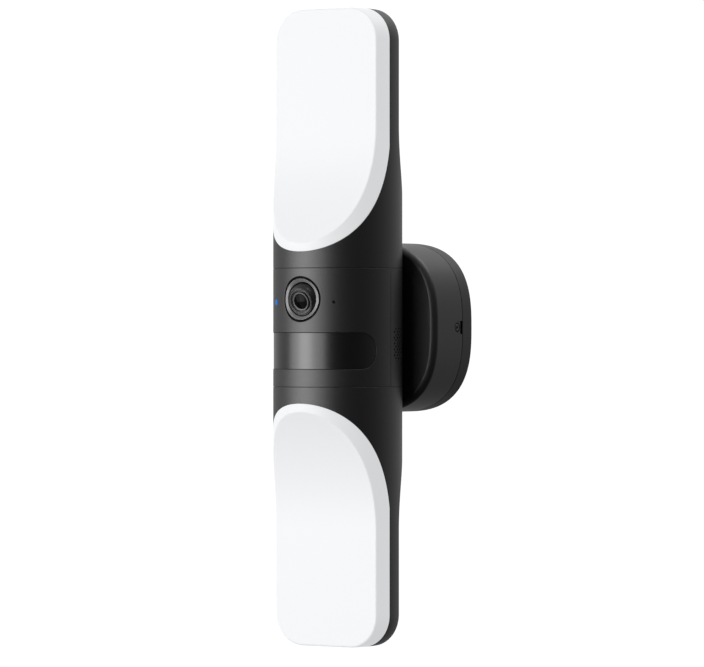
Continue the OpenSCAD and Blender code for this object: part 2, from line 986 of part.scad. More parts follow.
SHELL = [0.13, 0.13, 0.135];
WHITE = [0.95, 0.955, 0.965];
RUBBER = [0.08, 0.08, 0.08];
METAL = [0.7, 0.71, 0.73];
BOARD = [0.1, 0.34, 0.2];

upper(SHELL) lamp_shell_solid();  // upper_lamp_shell
lower(SHELL) lamp_shell_solid();  // lower_lamp_shell
upper(WHITE) diffuser_solid();  // upper_diffuser
lower(WHITE) diffuser_solid();  // lower_diffuser
pair(RUBBER) diffuser_seal_solid();  // diffuser_seals
upper(WHITE) reflector_solid();  // upper_reflector
lower(WHITE) reflector_solid();  // lower_reflector
upper(METAL) led_board_solid();  // upper_led_board
lower(METAL) led_board_solid();  // lower_led_board
upper("gold") leds_solid();  // upper_leds
lower("gold") leds_solid();  // lower_leds
upper(METAL) heat_sink_solid();  // upper_heat_sink
lower(METAL) heat_sink_solid();  // lower_heat_sink
pair("firebrick") lamp_lead_solid();  // lamp_leads
pair(RUBBER) joint_seal_solid();  // joint_seals
upper(SHELL) camera_front_cover_solid();  // camera_front_cover
upper(SHELL) camera_rear_housing_solid();  // camera_rear_housing
upper("dimgray") mid_frame_solid();  // mid_frame
upper(METAL) frame_screws_solid();  // frame_screws
upper(METAL) chassis_solid();  // chassis
upper(METAL) chassis_screws_solid();  // chassis_screws
upper("gray") lens_bezel_solid();  // lens_bezel
upper(RUBBER) lens_seal_solid();  // lens_seal
upper("dimgray") lens_cradle_solid();  // lens_cradle
upper(SHELL) at_lens() lens_ball_solid();  // lens_ball
upper("dimgray") at_lens() lens_barrel_solid();  // lens_barrel
upper("midnightblue") at_lens() lens_glass_solid();  // lens_glass
upper(BOARD) at_lens() image_sensor_board_solid();  // image_sensor_board
upper("black") sensor_window_solid();  // sensor_window
upper(BOARD) sensor_board_solid();  // sensor_board
upper(METAL) pir_sensors_solid();  // pir_sensors
upper("black") light_sensor_solid();  // light_sensor
upper("dodgerblue") status_light_pipe_solid();  // status_light_pipe
upper("navy") status_led_solid();  // status_led
upper(METAL) microphone_solid();  // microphone
upper(RUBBER) mic_seal_solid();  // mic_seal
upper("dimgray") speaker_solid();  // speaker
upper("black") speaker_cone_solid();  // speaker_cone
upper(RUBBER) speaker_gasket_solid();  // speaker_gasket
upper(BOARD) main_board_solid();  // main_board
upper(METAL) shield_can_solid();  // shield_can
upper("darkgoldenrod") wifi_antenna_solid();  // wifi_antenna
upper(SHELL) sync_button_solid();  // sync_button
upper(RUBBER) sync_button_seal_solid();  // sync_button_seal
upper("dimgray") sync_switch_solid();  // sync_switch
upper("red") switch_plunger_solid();  // switch_plunger
upper(BOARD) switch_board_solid();  // switch_board
color(METAL) neck_solid();  // neck
color(RUBBER) neck_seal_solid();  // neck_seal
color(METAL) neck_nut_solid();  // neck_nut
color("firebrick") wire_harness_solid();  // wire_harness
color(SHELL) base_housing_solid();  // base_housing
color(SHELL) wall_plate_solid();  // wall_plate
color(RUBBER) wall_gasket_solid();  // wall_gasket
color(METAL) side_screws_solid();  // side_screws
color(RUBBER) cable_grommet_solid();  // cable_grommet
color(BOARD) driver_board_solid();  // driver_board
color("goldenrod") driver_components_solid();  // driver_components
color("seagreen") terminal_block_solid();  // terminal_block
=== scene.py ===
"""Detailed model of the floodlight security camera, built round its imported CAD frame.

Shapes are worked out in millimetres in the body frame: the body's upright axis is x = y = 0,
the camera looks along -y and z is up. place() turns such a point into the row frame, in metres.
"""

import bpy, bmesh, json
from math import acos, asin, copysign, cos, hypot, pi, radians, sin, sqrt, tan
from mathutils import Matrix, Vector, geometry


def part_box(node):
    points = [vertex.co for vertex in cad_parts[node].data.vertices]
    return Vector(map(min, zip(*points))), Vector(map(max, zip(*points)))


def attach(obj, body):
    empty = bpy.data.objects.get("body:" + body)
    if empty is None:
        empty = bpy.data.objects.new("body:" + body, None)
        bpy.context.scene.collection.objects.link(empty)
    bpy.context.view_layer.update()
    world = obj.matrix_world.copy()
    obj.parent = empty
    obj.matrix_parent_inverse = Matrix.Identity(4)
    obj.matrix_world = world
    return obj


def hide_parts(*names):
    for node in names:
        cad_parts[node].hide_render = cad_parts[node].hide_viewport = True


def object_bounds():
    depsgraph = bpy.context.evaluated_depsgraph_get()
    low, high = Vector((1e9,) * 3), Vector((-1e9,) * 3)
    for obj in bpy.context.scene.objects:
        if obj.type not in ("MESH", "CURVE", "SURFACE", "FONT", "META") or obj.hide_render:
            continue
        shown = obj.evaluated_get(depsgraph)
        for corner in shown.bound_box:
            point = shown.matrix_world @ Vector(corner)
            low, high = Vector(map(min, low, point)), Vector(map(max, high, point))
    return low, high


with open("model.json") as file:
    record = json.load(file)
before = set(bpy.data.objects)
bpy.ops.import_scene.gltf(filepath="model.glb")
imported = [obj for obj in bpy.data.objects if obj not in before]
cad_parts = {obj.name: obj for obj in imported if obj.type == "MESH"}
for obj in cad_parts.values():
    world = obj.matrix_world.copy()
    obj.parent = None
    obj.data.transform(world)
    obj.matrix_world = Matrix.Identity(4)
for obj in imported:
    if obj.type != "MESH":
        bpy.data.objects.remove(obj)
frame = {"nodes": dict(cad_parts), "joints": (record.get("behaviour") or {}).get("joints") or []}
cad_low, cad_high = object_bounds()
nodes = frame["nodes"]

MM = 0.001
X, Y, Z = range(3)
LOW, HIGH = range(2)


def edge_of(cad_node, corner, axis):
    """A side of a CAD node's box, in millimetres in the row frame."""
    return round(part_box(cad_node)[corner][axis] / MM, 2)


def height_of(cad_node):
    """The height of the middle of a CAD node."""
    return round((edge_of(cad_node, LOW, Z) + edge_of(cad_node, HIGH, Z)) / 2, 2)


# Body
R = edge_of("upper_lamp_shell", HIGH, X)  # radius
AXIS_OUT = -edge_of("upper_lamp_shell", LOW, Y) - R  # from the wall to the body's axis
H = round(cad_high[Z] / MM - 0.01, 2)  # half height, just inside the CAD box
MID_BACK = edge_of("camera_rear_housing", HIGH, Y) + AXIS_OUT
CORNER_R = 20.0  # of a lamp's top corners
SHELL_WALL = 2.4
DIFFUSER_WALL = 2.2
MID_TOP = 36.42  # half height of the camera section
LAMP_LOW = 36.6  # where the upper lamp begins
TAIL_BACK = 12.0  # depth of a lamp's flat back behind the axis
FACE_OUT = 12.8  # depths of the light face and of its seam in front of the axis
SEAM_OUT = 1.0
ARC_Z = 125.0  # height at which the scoops end
FACE_ARC_R = 112.0
SEAM_ARC_R = 97.0
BACK_ARC_R = 90.0
GAP = 0.2  # between a diffuser and its shell
LIP = 0.16  # of the rounded edges at a seam
SEAM_HALF = 0.06  # half of the upright seam between the two covers
ON_SURFACE = 2e-3  # a point this near a known surface gets that surface's normal

# Camera section
COVER_WALL = 2.5
LENS_Z = height_of("lens_bezel")
TILT_JOINT = next(j for j in frame["joints"] if j["name"] == "lens_tilt")
PIVOT_OUT = round(-TILT_JOINT["pos_m"][Y] / MM - AXIS_OUT, 2)
LENS_TILT = radians(15)
BALL_R = 10.6  # of the ball that holds the lens
GLASS_R = edge_of("lens_glass", HIGH, X)
RIM_OUT = 6.33  # from the pivot to the barrel's front
GROOVE_R = 14.0  # outer edge of the step round the lens ring
GROOVE_FLOOR = 1.2  # its depth
RING_R = edge_of("lens_bezel", HIGH, X)
WINDOW_Z = height_of("sensor_window")
WINDOW_HALF = 11.3
WINDOW_END = radians(72) - WINDOW_HALF / R
DOT_Z = height_of("status_light_pipe")
LIGHT_ANGLE = radians(-35.6)
LIGHT_R = 1.9
MIC_ANGLE = radians(32)
MIC_R = 1.0
SPEAKER_ANGLE = radians(108)
SPEAKER_Z = -9.9
GRILLE_HOLE_R = 0.66
GRILLE_STEP = radians(3)
GRILLE_ROW = 1.8
BUTTON_ANGLE = radians(-108)
BUTTON_Z = height_of("sync_button")
BUTTON_R = 4.5
NECK_HOLE_R = 11.2  # in the rear cover and the base

# Base
BASE_HALF = edge_of("base_housing", HIGH, X)
BASE_D = -edge_of("base_housing", LOW, Y)
HOUSING_BACK = -edge_of("base_housing", HIGH, Y)
BASE_WALL = 2.6
BASE_N = 2.75  # exponent of the base's soft square outline
EDGE_OVER = 3.6  # size and exponent of its front edge
EDGE_N = 1.5
PLATE_D = 10.0
PLATE_FLOOR = 3.0
SCREW_OUT = 15.8  # the side screws' distance from the wall
NOTCH_HALF = 4.1


# ---------- Materials ----------

def node(tree, kind, **values):
    made = tree.nodes.new(kind)
    for key, value in values.items():
        setattr(made, key, value)
    return made


def feed(made, values):
    """Gives a node's inputs their numbers or links."""
    for key, value in values.items():
        if isinstance(value, bpy.types.NodeSocket):
            made.id_data.links.new(value, made.inputs[key])
        else:
            made.inputs[key].default_value = value


def noise(tree, scale, detail, rough=0.5):
    """A noise texture in object space, whose scale is in features per metre."""
    at = node(tree, "ShaderNodeTexCoord")
    made = node(tree, "ShaderNodeTexNoise")
    feed(made, {"Scale": scale, "Detail": detail, "Roughness": rough,
                "Vector": at.outputs["Object"]})
    return made.outputs["Fac"]


def ramp(tree, source, low, high):
    """Maps a noise signal onto low-high, which are numbers or colours."""
    if isinstance(low, tuple):
        made = node(tree, "ShaderNodeMix", data_type="RGBA")
        feed(made, {"Factor": source, "A": (*low, 1), "B": (*high, 1)})
    else:
        made = node(tree, "ShaderNodeMapRange")
        feed(made, {"Value": source, "From Min": 0.3, "From Max": 0.7,
                    "To Min": low, "To Max": high})
    return made.outputs["Result"]


MATERIALS = {}


def finish(name, colour, rough, vary=0.08, rough_vary=0.04, patch=60, grain=2600, depth=0.02,
           **sockets):
    """A moulded or metal finish: slight colour and gloss variation over a fine surface grain."""
    made = bpy.data.materials.new(name)
    MATERIALS[name] = made
    made.use_nodes = True
    tree = made.node_tree
    shader = tree.nodes["Principled BSDF"]
    cloud = noise(tree, patch, 4.0)
    low = tuple(c * (1 - vary) for c in colour)
    high = tuple(min(1.0, c * (1 + vary)) for c in colour)
    fine = noise(tree, grain, 2.0, 0.6)
    bump = node(tree, "ShaderNodeBump")
    feed(bump, {"Strength": min(1.0, depth * 10), "Distance": 0.00004, "Height": fine})
    feed(shader, {
        "Base Color": ramp(tree, cloud, low, high),
        "Roughness": ramp(tree, fine, max(0.0, rough - rough_vary), rough + rough_vary),
        "Normal": bump.outputs["Normal"]})
    feed(shader, {key.replace("_", " "): value for key, value in sockets.items()})
    return made


def brushed(name, colour, rough, lines=900, axis=1, **sockets):
    """Metal with fine parallel tool marks across the given axis."""
    made = finish(name, colour, rough, vary=0.05, rough_vary=0.05, Metallic=1.0, **sockets)
    tree = made.node_tree
    wave, stretch, at = [node(tree, kind) for kind in (
        "ShaderNodeTexNoise", "ShaderNodeMapping", "ShaderNodeTexCoord")]
    scale = [1.0, 1.0, 1.0]
    scale[axis] = 0.02
    feed(stretch, {"Scale": scale, "Vector": at.outputs["Object"]})
    feed(wave, {"Scale": lines, "Vector": stretch.outputs["Vector"]})
    bump = next(n for n in tree.nodes if n.bl_idname == "ShaderNodeBump")
    feed(bump, {"Height": wave.outputs["Fac"]})


BLACK = (0.0052, 0.0053, 0.0056)
for name in ("shell_black", "cover_black", "housing_black", "base_black"):
    finish(name, BLACK, 0.46, depth=0.012, Specular_IOR_Level=0.95)
# Painted shade: hole_black is a darker, duller copy of the covers' black plastic, given to the walls
# deep inside holes and grooves to stand in for the shade there
finish("hole_black", (0.003, 0.003, 0.003), 0.8, Specular_IOR_Level=0.25)
finish("plate_black", BLACK, 0.54, depth=0.016, Specular_IOR_Level=0.9)
finish("button_black", BLACK, 0.5, depth=0.012, Specular_IOR_Level=0.9)
# Painted light: the diffuser's emission is a steady glow that stands in for light scattered through
# its opal plastic and evens out its shading; the grey base colour and the glow together read white
finish("diffuser_white", (0.28, 0.284, 0.29), 0.5, vary=0.004, rough_vary=0.03, patch=25,
       depth=0.008, Emission_Color=(0.975, 0.985, 1.0, 1.0), Emission_Strength=0.585)
finish("reflector_white", (0.88, 0.88, 0.88), 0.6, vary=0.02)
finish("seal_rubber", (0.012, 0.012, 0.012), 0.75, depth=0.05)
finish("foam_gasket", (0.02, 0.02, 0.02), 0.95, vary=0.3, grain=1400, depth=0.1)
finish("led_board", (0.82, 0.83, 0.84), 0.35, vary=0.02, Metallic=0.3)
finish("led_chip", (0.86, 0.66, 0.16), 0.3, vary=0.05, Coat_Weight=0.6)
brushed("heat_sink", (0.62, 0.63, 0.65), 0.34)
finish("wire", (0.42, 0.03, 0.03), 0.45, vary=0.1, patch=300)
finish("frame_plastic", (0.05, 0.05, 0.055), 0.5, depth=0.03)
brushed("screw_steel", (0.55, 0.55, 0.56), 0.3, 2500, 0)
finish("side_screw", (0.009, 0.009, 0.0095), 0.5, vary=0.1, Specular_IOR_Level=0.95)
brushed("chassis_steel", (0.6, 0.61, 0.63), 0.32)
finish("lens_ring", (0.2, 0.2, 0.204), 0.46, vary=0.04, depth=0.02, Metallic=0.25)
finish("lens_retainer", (0.09, 0.09, 0.092), 0.36, vary=0.04, depth=0.02, Metallic=0.3)
finish("lens_ball", (0.004, 0.004, 0.0045), 0.42, depth=0.004, Specular_IOR_Level=0.85)
finish("lens_barrel", (0.02, 0.02, 0.021), 0.46, depth=0.02, Specular_IOR_Level=0.8)
finish("lens_glass", (0.001, 0.0014, 0.0015), 0.12, rough_vary=0.01, grain=400, depth=0.0005,
       Specular_IOR_Level=0.07)
finish("circuit_board", (0.01, 0.12, 0.05), 0.35, vary=0.25, patch=420, Coat_Weight=0.4)
finish("window_black", (0.002, 0.002, 0.0022), 0.3, rough_vary=0.015, depth=0.002,
       Specular_IOR_Level=1.0)
brushed("sensor_can", (0.66, 0.66, 0.67), 0.25, 1800, 2)
finish("chip_black", (0.015, 0.015, 0.016), 0.55, depth=0.05)
finish("light_pipe", (0.002, 0.03, 0.1), 0.4, vary=0.1, patch=700,
       Emission_Color=(0.001, 0.15, 0.56, 1.0), Emission_Strength=0.9, Specular_IOR_Level=0.2)
finish("speaker_frame", (0.035, 0.035, 0.04), 0.45, depth=0.04)
finish("speaker_cone", (0.02, 0.02, 0.02), 0.8, vary=0.3, depth=0.1)
brushed("shield_can", (0.7, 0.7, 0.7), 0.3)
finish("antenna", (0.6, 0.38, 0.1), 0.3, vary=0.12, Metallic=0.8)
finish("switch_body", (0.03, 0.03, 0.03), 0.5)
finish("plunger", (0.4, 0.04, 0.03), 0.4)
brushed("neck_metal", (0.5, 0.5, 0.52), 0.35, 1500, 1)
finish("component", (0.35, 0.22, 0.03), 0.4, vary=0.4, patch=160)
finish("terminal", (0.02, 0.22, 0.09), 0.4, vary=0.08)

for part in nodes.values():
    for holder in part.material_slots:
        holder.material = MATERIALS.get(holder.material.name.split(".")[0], holder.material)


# ---------- Mesh helpers ----------

def place(p):
    return Vector((p[0] * MM, (p[1] - AXIS_OUT) * MM, p[2] * MM))


class Skin:
    """Gathers points in millimetres and the faces between them."""

    def __init__(self):
        self.points, self.faces = [], []

    def add(self, points):
        first = len(self.points)
        self.points += [Vector(p) for p in points]
        return list(range(first, first + len(points)))

    def strip(self, a, b, closed=False):
        count = len(a) if closed else len(a) - 1
        for i in range(count):
            j = (i + 1) % len(a)
            self.faces.append((a[i], a[j], b[j], b[i]))

    def rows(self, rows, closed=False):
        made = [self.add(r) for r in rows]
        for a, b in zip(made, made[1:]):
            self.strip(a, b, closed)
        return made

    def capped(self, rings):
        """A separate closed solid between two or more rings."""
        made = self.rows(rings, closed=True)
        self.faces += [tuple(made[0]), tuple(made[-1])]
        return self

    def block(self, lo, hi):
        """A separate closed box, such as a tab that stands on another surface."""
        ring = [(lo[1], lo[2]), (hi[1], lo[2]), (hi[1], hi[2]), (lo[1], hi[2])]
        return self.capped([[(x, y, z) for y, z in ring] for x in (lo[0], hi[0])])

    def join(self, other):
        """Takes over the points and faces of another skin."""
        first = len(self.points)
        self.points += other.points
        self.faces += [tuple(first + i for i in f) for f in other.faces]

    def mirrored(self):
        """Adds the other half, across x = 0."""
        half = Skin()
        half.points = [Vector((-p.x, p.y, p.z)) for p in self.points]
        half.faces = list(self.faces)
        self.join(half)


def exact_normals(obj, normal_at):
    """Gives the vertices that normal_at knows an exact normal, so a curved face shades evenly."""
    to_body = Vector((0, AXIS_OUT, 0))
    found = [normal_at(v.co / MM + to_body) or Vector() for v in obj.data.vertices]
    obj.data.normals_split_custom_set_from_vertices(found)


def new_object(name, points, faces):
    """An object from points in metres, with doubled points welded and faces turned outwards."""
    bm = bmesh.new()
    made = [bm.verts.new(p) for p in points]
    for f in faces:
        if len(set(f)) > 2:
            try:
                bm.faces.new([made[i] for i in f])
            except ValueError:  # the face is there already
                pass
    bmesh.ops.remove_doubles(bm, verts=bm.verts, dist=2e-6)
    bmesh.ops.dissolve_degenerate(bm, edges=bm.edges, dist=1e-6)
    bmesh.ops.recalc_face_normals(bm, faces=bm.faces)
    mesh = bpy.data.meshes.new(name)
    bm.to_mesh(mesh)
    bm.free()
    obj = bpy.data.objects.new(name, mesh)
    bpy.context.scene.collection.objects.link(obj)
    return obj


PAINTED_SHADE_DEPTH = 0.3  # depth below a cover's surface from which a hole's wall gets painted shade, the darker hole_black


def piece(name, skin, slot, body="fixture", stands_for=(), sharp=32, normal_at=None,
          flip_z=False, in_wall_frame=False, cut=None, depth_of=None, look=None):
    """Makes the object of a skin, gives it its finish and joins it to the CAD body.

    sharp is the angle, in degrees, from which an edge stays sharp. normal_at gives exact normals
    on a known surface. in_wall_frame is for points whose y = 0 is the wall. cut lists cutting
    solids. depth_of gives a point's depth, and the walls below the surface get painted shade:
    the darker, duller hole_black finish. look names a finish other than the slot's own.
    """
    points = []
    for p in skin.points:
        y = p.y + AXIS_OUT if in_wall_frame else p.y
        points.append(place((p.x, y, -p.z if flip_z else p.z)))
    obj = new_object(name, points, skin.faces)
    if cut is not None:
        trim(obj, cut)
    for p in obj.data.polygons:
        p.use_smooth = True
    obj.data.set_sharp_from_angle(angle=radians(sharp))
    if normal_at is not None:
        exact_normals(obj, normal_at)
    else:
        even = obj.modifiers.new("normals", "WEIGHTED_NORMAL")
        even.keep_sharp = True
        even.weight = 60
    obj.data.materials.clear()
    obj.data.materials.append(MATERIALS[look or slot])
    # Painted shade: faces that reach deep into holes and grooves get hole_black, a darker, duller
    # black that stands in for the shade there
    if depth_of is not None:
        obj.data.materials.append(MATERIALS["hole_black"])
        for p in obj.data.polygons:
            deepest = max(depth_of(obj.data.vertices[i].co / MM) for i in p.vertices)
            p.material_index = 1 if deepest > PAINTED_SHADE_DEPTH else 0
    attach(obj, body)
    if stands_for:
        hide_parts(*stands_for)
    return obj


def trim(obj, cutters):
    """Cuts solids away from obj, and leaves only the result's mesh."""
    for cutter in cutters:
        change = obj.modifiers.new("cut", "BOOLEAN")
        change.operation = "DIFFERENCE"
        change.solver = "EXACT"
        change.object = cutter
        bpy.context.view_layer.update()
        graph = bpy.context.evaluated_depsgraph_get()
        result = bpy.data.meshes.new_from_object(obj.evaluated_get(graph))
        obj.modifiers.clear()
        old = obj.data
        obj.data = result
        bpy.data.meshes.remove(old)
    for cutter in cutters:
        bpy.data.objects.remove(cutter)
    obj.data.name = obj.name


def cutter(skin):
    """A cutting solid from a skin in the wall frame."""
    return new_object("cutter", [p * MM for p in skin.points], skin.faces)


def blend_arc(a, b, k):
    """The unit vector k of the way from a to b along the arc between them."""
    return a.slerp(b, k) if a.dot(b) < 0.99999 else a.copy()


def resampled(points, count):
    """Positions along a polyline, as (index, fraction), at equal lengths."""
    lengths = [0.0]
    for a, b in zip(points, points[1:]):
        lengths.append(lengths[-1] + (b - a).length)
    out, j = [], 0
    for i in range(count + 1):
        want = lengths[-1] * i / count
        while j < len(points) - 2 and lengths[j + 1] < want:
            j += 1
        span = lengths[j + 1] - lengths[j]
        out.append((j, (want - lengths[j]) / span if span else 0.0))
    return out


# ---------- Lamps ----------

def face_y(z, t=0.0):
    """Depth of the light face at a height, t inside its surface."""
    if z >= ARC_Z:
        return t - FACE_OUT
    return -FACE_OUT - FACE_ARC_R + sqrt((FACE_ARC_R + t) ** 2 - (ARC_Z - z) ** 2)


def face_normal(z):
    d = max(0.0, ARC_Z - z)
    return Vector((0, -1, d / sqrt(FACE_ARC_R ** 2 - d * d))).normalized()


def seam_y(z):
    """Depth of the seam between diffuser and shell at a height."""
    if z >= ARC_Z:
        return -SEAM_OUT
    return min(-SEAM_OUT, -SEAM_ARC_R + sqrt(SEAM_ARC_R ** 2 - (ARC_Z - z) ** 2))


SCOOP_SOFT = 0.9  # how far the corner between the scoop and the flat middle is softened


def back_y(z, t=0.0):
    """Depth of the back: the flat tail, the scoop and the flat middle, with a soft corner."""
    if z >= ARC_Z:
        return TAIL_BACK - t
    d = min(ARC_Z - z, BACK_ARC_R - 1)
    scoop = TAIL_BACK + BACK_ARC_R - sqrt((BACK_ARC_R + t) ** 2 - d * d)
    flat = MID_BACK - t
    h = max(SCOOP_SOFT - abs(scoop - flat), 0.0) / SCOOP_SOFT
    return min(scoop, flat) - h * h * SCOOP_SOFT / 4


def back_normal(z):
    e = 0.05
    return Vector((0, 1, -(back_y(z + e) - back_y(z - e)) / (2 * e))).normalized()


SIDE, TURN, FLAT = range(3)
SCOOP_STEPS, SIDE_STEPS, TURN_STEPS, FLAT_STEPS = 64, 8, 18, 5
SCOOP_SAMPLES = 400
EDGE_STEPS, FACE_STEPS, LOW_STEPS = 7, 12, 12  # round an edge, over a face, below the scoop
DIFFUSER_BAND, SHELL_BAND = 8, 44  # steps over the side of each
FAN_Z, FAN_TURN_Z, FAN_FLAT_Z = 150.0, 163.5, 175.5  # where rows fan out towards the top


def rim(kind, v, y, t):
    """Point of the body's outline at depth y, t inside its surface."""
    c = sqrt(max(0.0, (R - t) ** 2 - y * y))
    r = CORNER_R - t
    if kind == SIDE:
        return Vector((c, y, v))
    if kind == TURN:
        return Vector((c - r + r * cos(v), y, H - t - r + r * sin(v)))
    return Vector(((c - r) * (1 - v), y, H - t))


def apex(depth, t):
    """Lowest height at which a front profile leaves the round body's front, by halving."""
    low, high = R, 2 * R
    for _ in range(60):
        mid = (low + high) / 2
        if depth(mid, t) <= -(R - t):
            low = mid
        else:
            high = mid
    return high


def scoop_heights(depth, t):
    """Heights along the scoop at equal steps of its edge's length."""
    start = apex(depth, t)
    zs = [start + (ARC_Z - start) * (i / SCOOP_SAMPLES) ** 2 for i in range(SCOOP_SAMPLES + 1)]
    line = [rim(SIDE, z, max(-(R - t), depth(z, t)), t) for z in zs]
    return [zs[j] + (zs[j + 1] - zs[j]) * f for j, f in resampled(line, SCOOP_STEPS)]


def upper_stations():
    """Stations above the scoop, shared by every profile: side, corner and top."""
    out = [(SIDE, ARC_Z + (H - CORNER_R - ARC_Z) * i / SIDE_STEPS)
           for i in range(1, SIDE_STEPS + 1)]
    out += [(TURN, pi / 2 * i / TURN_STEPS) for i in range(1, TURN_STEPS + 1)]
    return out + [(FLAT, i / FLAT_STEPS) for i in range(1, FLAT_STEPS + 1)]


def middle_target(kind, v):
    """Height at which a station's row across the face meets the middle plane."""
    if kind == SIDE:
        return v if v < FAN_Z else (v + FAN_Z) / 2
    if kind == TURN:
        return FAN_TURN_Z + (FAN_FLAT_Z - FAN_TURN_Z) * v / (pi / 2)
    return FAN_FLAT_Z + 8 * v


def rounded(edge, tangent, n_out, n_face, reach, radius):
    """Arc that rounds the edge between a side and a face, from the side to the face."""
    side_way = n_out.cross(tangent).normalized()
    if side_way.dot(reach[0]) < 0:
        side_way = -side_way
    face_way = n_face.cross(tangent).normalized()
    if face_way.dot(reach[1]) < 0:
        face_way = -face_way
    angle = n_out.angle(n_face)
    back = radius * tan(angle / 2)
    centre = edge + side_way * back - n_out * radius
    return [centre + blend_arc(n_out, n_face, k / EDGE_STEPS) * radius
            for k in range(EDGE_STEPS + 1)]


def edge_tangent(edges, i):
    """Direction of the edge at its point i. It crosses the middle plane square."""
    last = len(edges) - 1
    tangent = edges[min(last, i + 1)] - edges[max(0, i - 1)]
    if i == 0 and abs(edges[0].x) < 1e-3:
        tangent = Vector((1, 0, 0))
    elif i == 0:
        tangent = edges[1] - edges[0]
        tangent.x = 0
    if i == last:
        tangent = Vector((-1, 0, 0))
    return tangent.normalized()


def edge_reach(kind, edge, toward, y_seam, seam_v, edge_v, face_dir):
    """Rough directions from the edge down the side and in over the face."""
    if kind == SIDE and face_dir < 0:
        rise = 0.5 + (ARC_Z - edge_v) * 0.5 if edge_v < ARC_Z else 0
        return (Vector((edge.x * 0.2, y_seam - edge.y, seam_v - edge_v - 0.01)),
                Vector((-edge.x, 0, rise)))
    if kind == SIDE:
        return Vector((0, -1, 0)), Vector((-edge.x, 0, 0))
    return toward, Vector((-edge.x, 0, FAN_Z - edge.z))


def edge_rows(kinds, side_at, face_depth, face_dir, t, radius, band_steps, lip):
    """Rows from the seam over the side, round the edge and across the face to the middle.

    Each row begins with a small rounded lip, unless lip is 0. kinds lists (kind,
    seam height or angle, edge height or angle). side_at(kind, v) is the seam's depth there, and
    face_dir is -1 for the front face and 1 for the back.
    """
    heights = [edge_v if kind == SIDE else H for kind, seam_v, edge_v in kinds]
    edges = [rim(kind, edge_v, face_depth(z, t), t)
             for (kind, seam_v, edge_v), z in zip(kinds, heights)]
    rows = []
    for i, (kind, seam_v, edge_v) in enumerate(kinds):
        edge = edges[i]
        tangent = edge_tangent(edges, i)
        y_seam = side_at(kind, seam_v)
        step = 0.02 * (1 if y_seam > edge.y else -1)
        toward = rim(kind, edge_v, edge.y + step, t) - edge
        if kind == SIDE:
            n_out = Vector((edge.x, edge.y, 0)).normalized()
        else:
            n_out = toward.cross(tangent).normalized()
            if n_out.dot(Vector((edge.x, 0, edge.z - FAN_Z))) < 0:
                n_out = -n_out
        n_face = face_normal(heights[i]) if face_dir < 0 else back_normal(heights[i])
        reach = edge_reach(kind, edge, toward, y_seam, seam_v, edge_v, face_dir)
        arc = rounded(edge, tangent, n_out, n_face, reach, radius)
        begin = arc[0]
        theta_a = acos(max(-1.0, min(1.0, -y_seam / (R - t))))
        theta_b = acos(max(-1.0, min(1.0, -begin.y / (R - t))))
        rise = abs(begin.z - seam_v) if kind == SIDE else 0
        span = max(1e-6, abs(theta_b - theta_a) * R + rise)
        first = lip / span
        places = [(first * k, lip * inset) for k, inset in ((0, 1), (0.3, 0.3), (1, 0))]
        if not lip:
            places = [(0, 0)]
        places += [(first + (1 - first) * j / band_steps, 0) for j in range(1, band_steps)]
        row = [side_point(kind, seam_v, begin, theta_a, theta_b, f, t + inset)
               for f, inset in places]
        row += arc
        end = arc[-1]
        target_z = middle_target(kind, end.z if kind == SIDE else edge_v)
        for j in range(1, FACE_STEPS + 1):
            f = j / FACE_STEPS
            x, z = end.x * (1 - f), end.z + (target_z - end.z) * f
            row.append(Vector((x, face_depth(z, t), z)))
        rows.append(row)
    return rows


def side_point(kind, seam_v, begin, theta_a, theta_b, f, t):
    """Point on the side, f of the way round from the seam to the rounded edge."""
    theta = theta_a + (theta_b - theta_a) * f
    y = -(R - t) * cos(theta)
    if kind == SIDE:
        return rim(SIDE, seam_v + (begin.z - seam_v) * f, y, t)
    return rim(kind, seam_v, y, t)


def seam_side(gap, t):
    """The seam's depth at a station, never in front of the round body."""
    return lambda kind, v: max(-(R - t), (seam_y(v) if kind == SIDE else -SEAM_OUT) - gap)


def diffuser_skin():
    skin = Skin()

    def surface(t, radius, lip):
        at_seam = scoop_heights(lambda z, inset: seam_y(z) - GAP, t)
        at_face = scoop_heights(face_y, t)
        kinds = [(SIDE, p, q) for p, q in zip(at_seam, at_face)]
        kinds += [(k, v, v) for k, v in upper_stations()]
        return edge_rows(kinds, seam_side(GAP, t), face_y, -1, t, radius, DIFFUSER_BAND, lip)

    outer = skin.rows(surface(0.0, 1.2, 0.22))
    inner = skin.rows(surface(DIFFUSER_WALL, 0.25, 0.0))
    skin.strip([r[0] for r in outer], [r[0] for r in inner])
    skin.mirrored()
    return skin


def pulled_in(ring, inset, z):
    """The shell's lowest ring at another height, drawn in from the round side and flat back."""
    row = []
    for p in ring:
        q = p.copy()
        on_flat_back = p.y > MID_BACK - 2.2 and abs(p.x) < 27
        if on_flat_back:
            q.y -= inset
        else:
            q -= Vector((p.x, p.y, 0)).normalized() * inset
        q.z = z
        row.append(q)
    return row


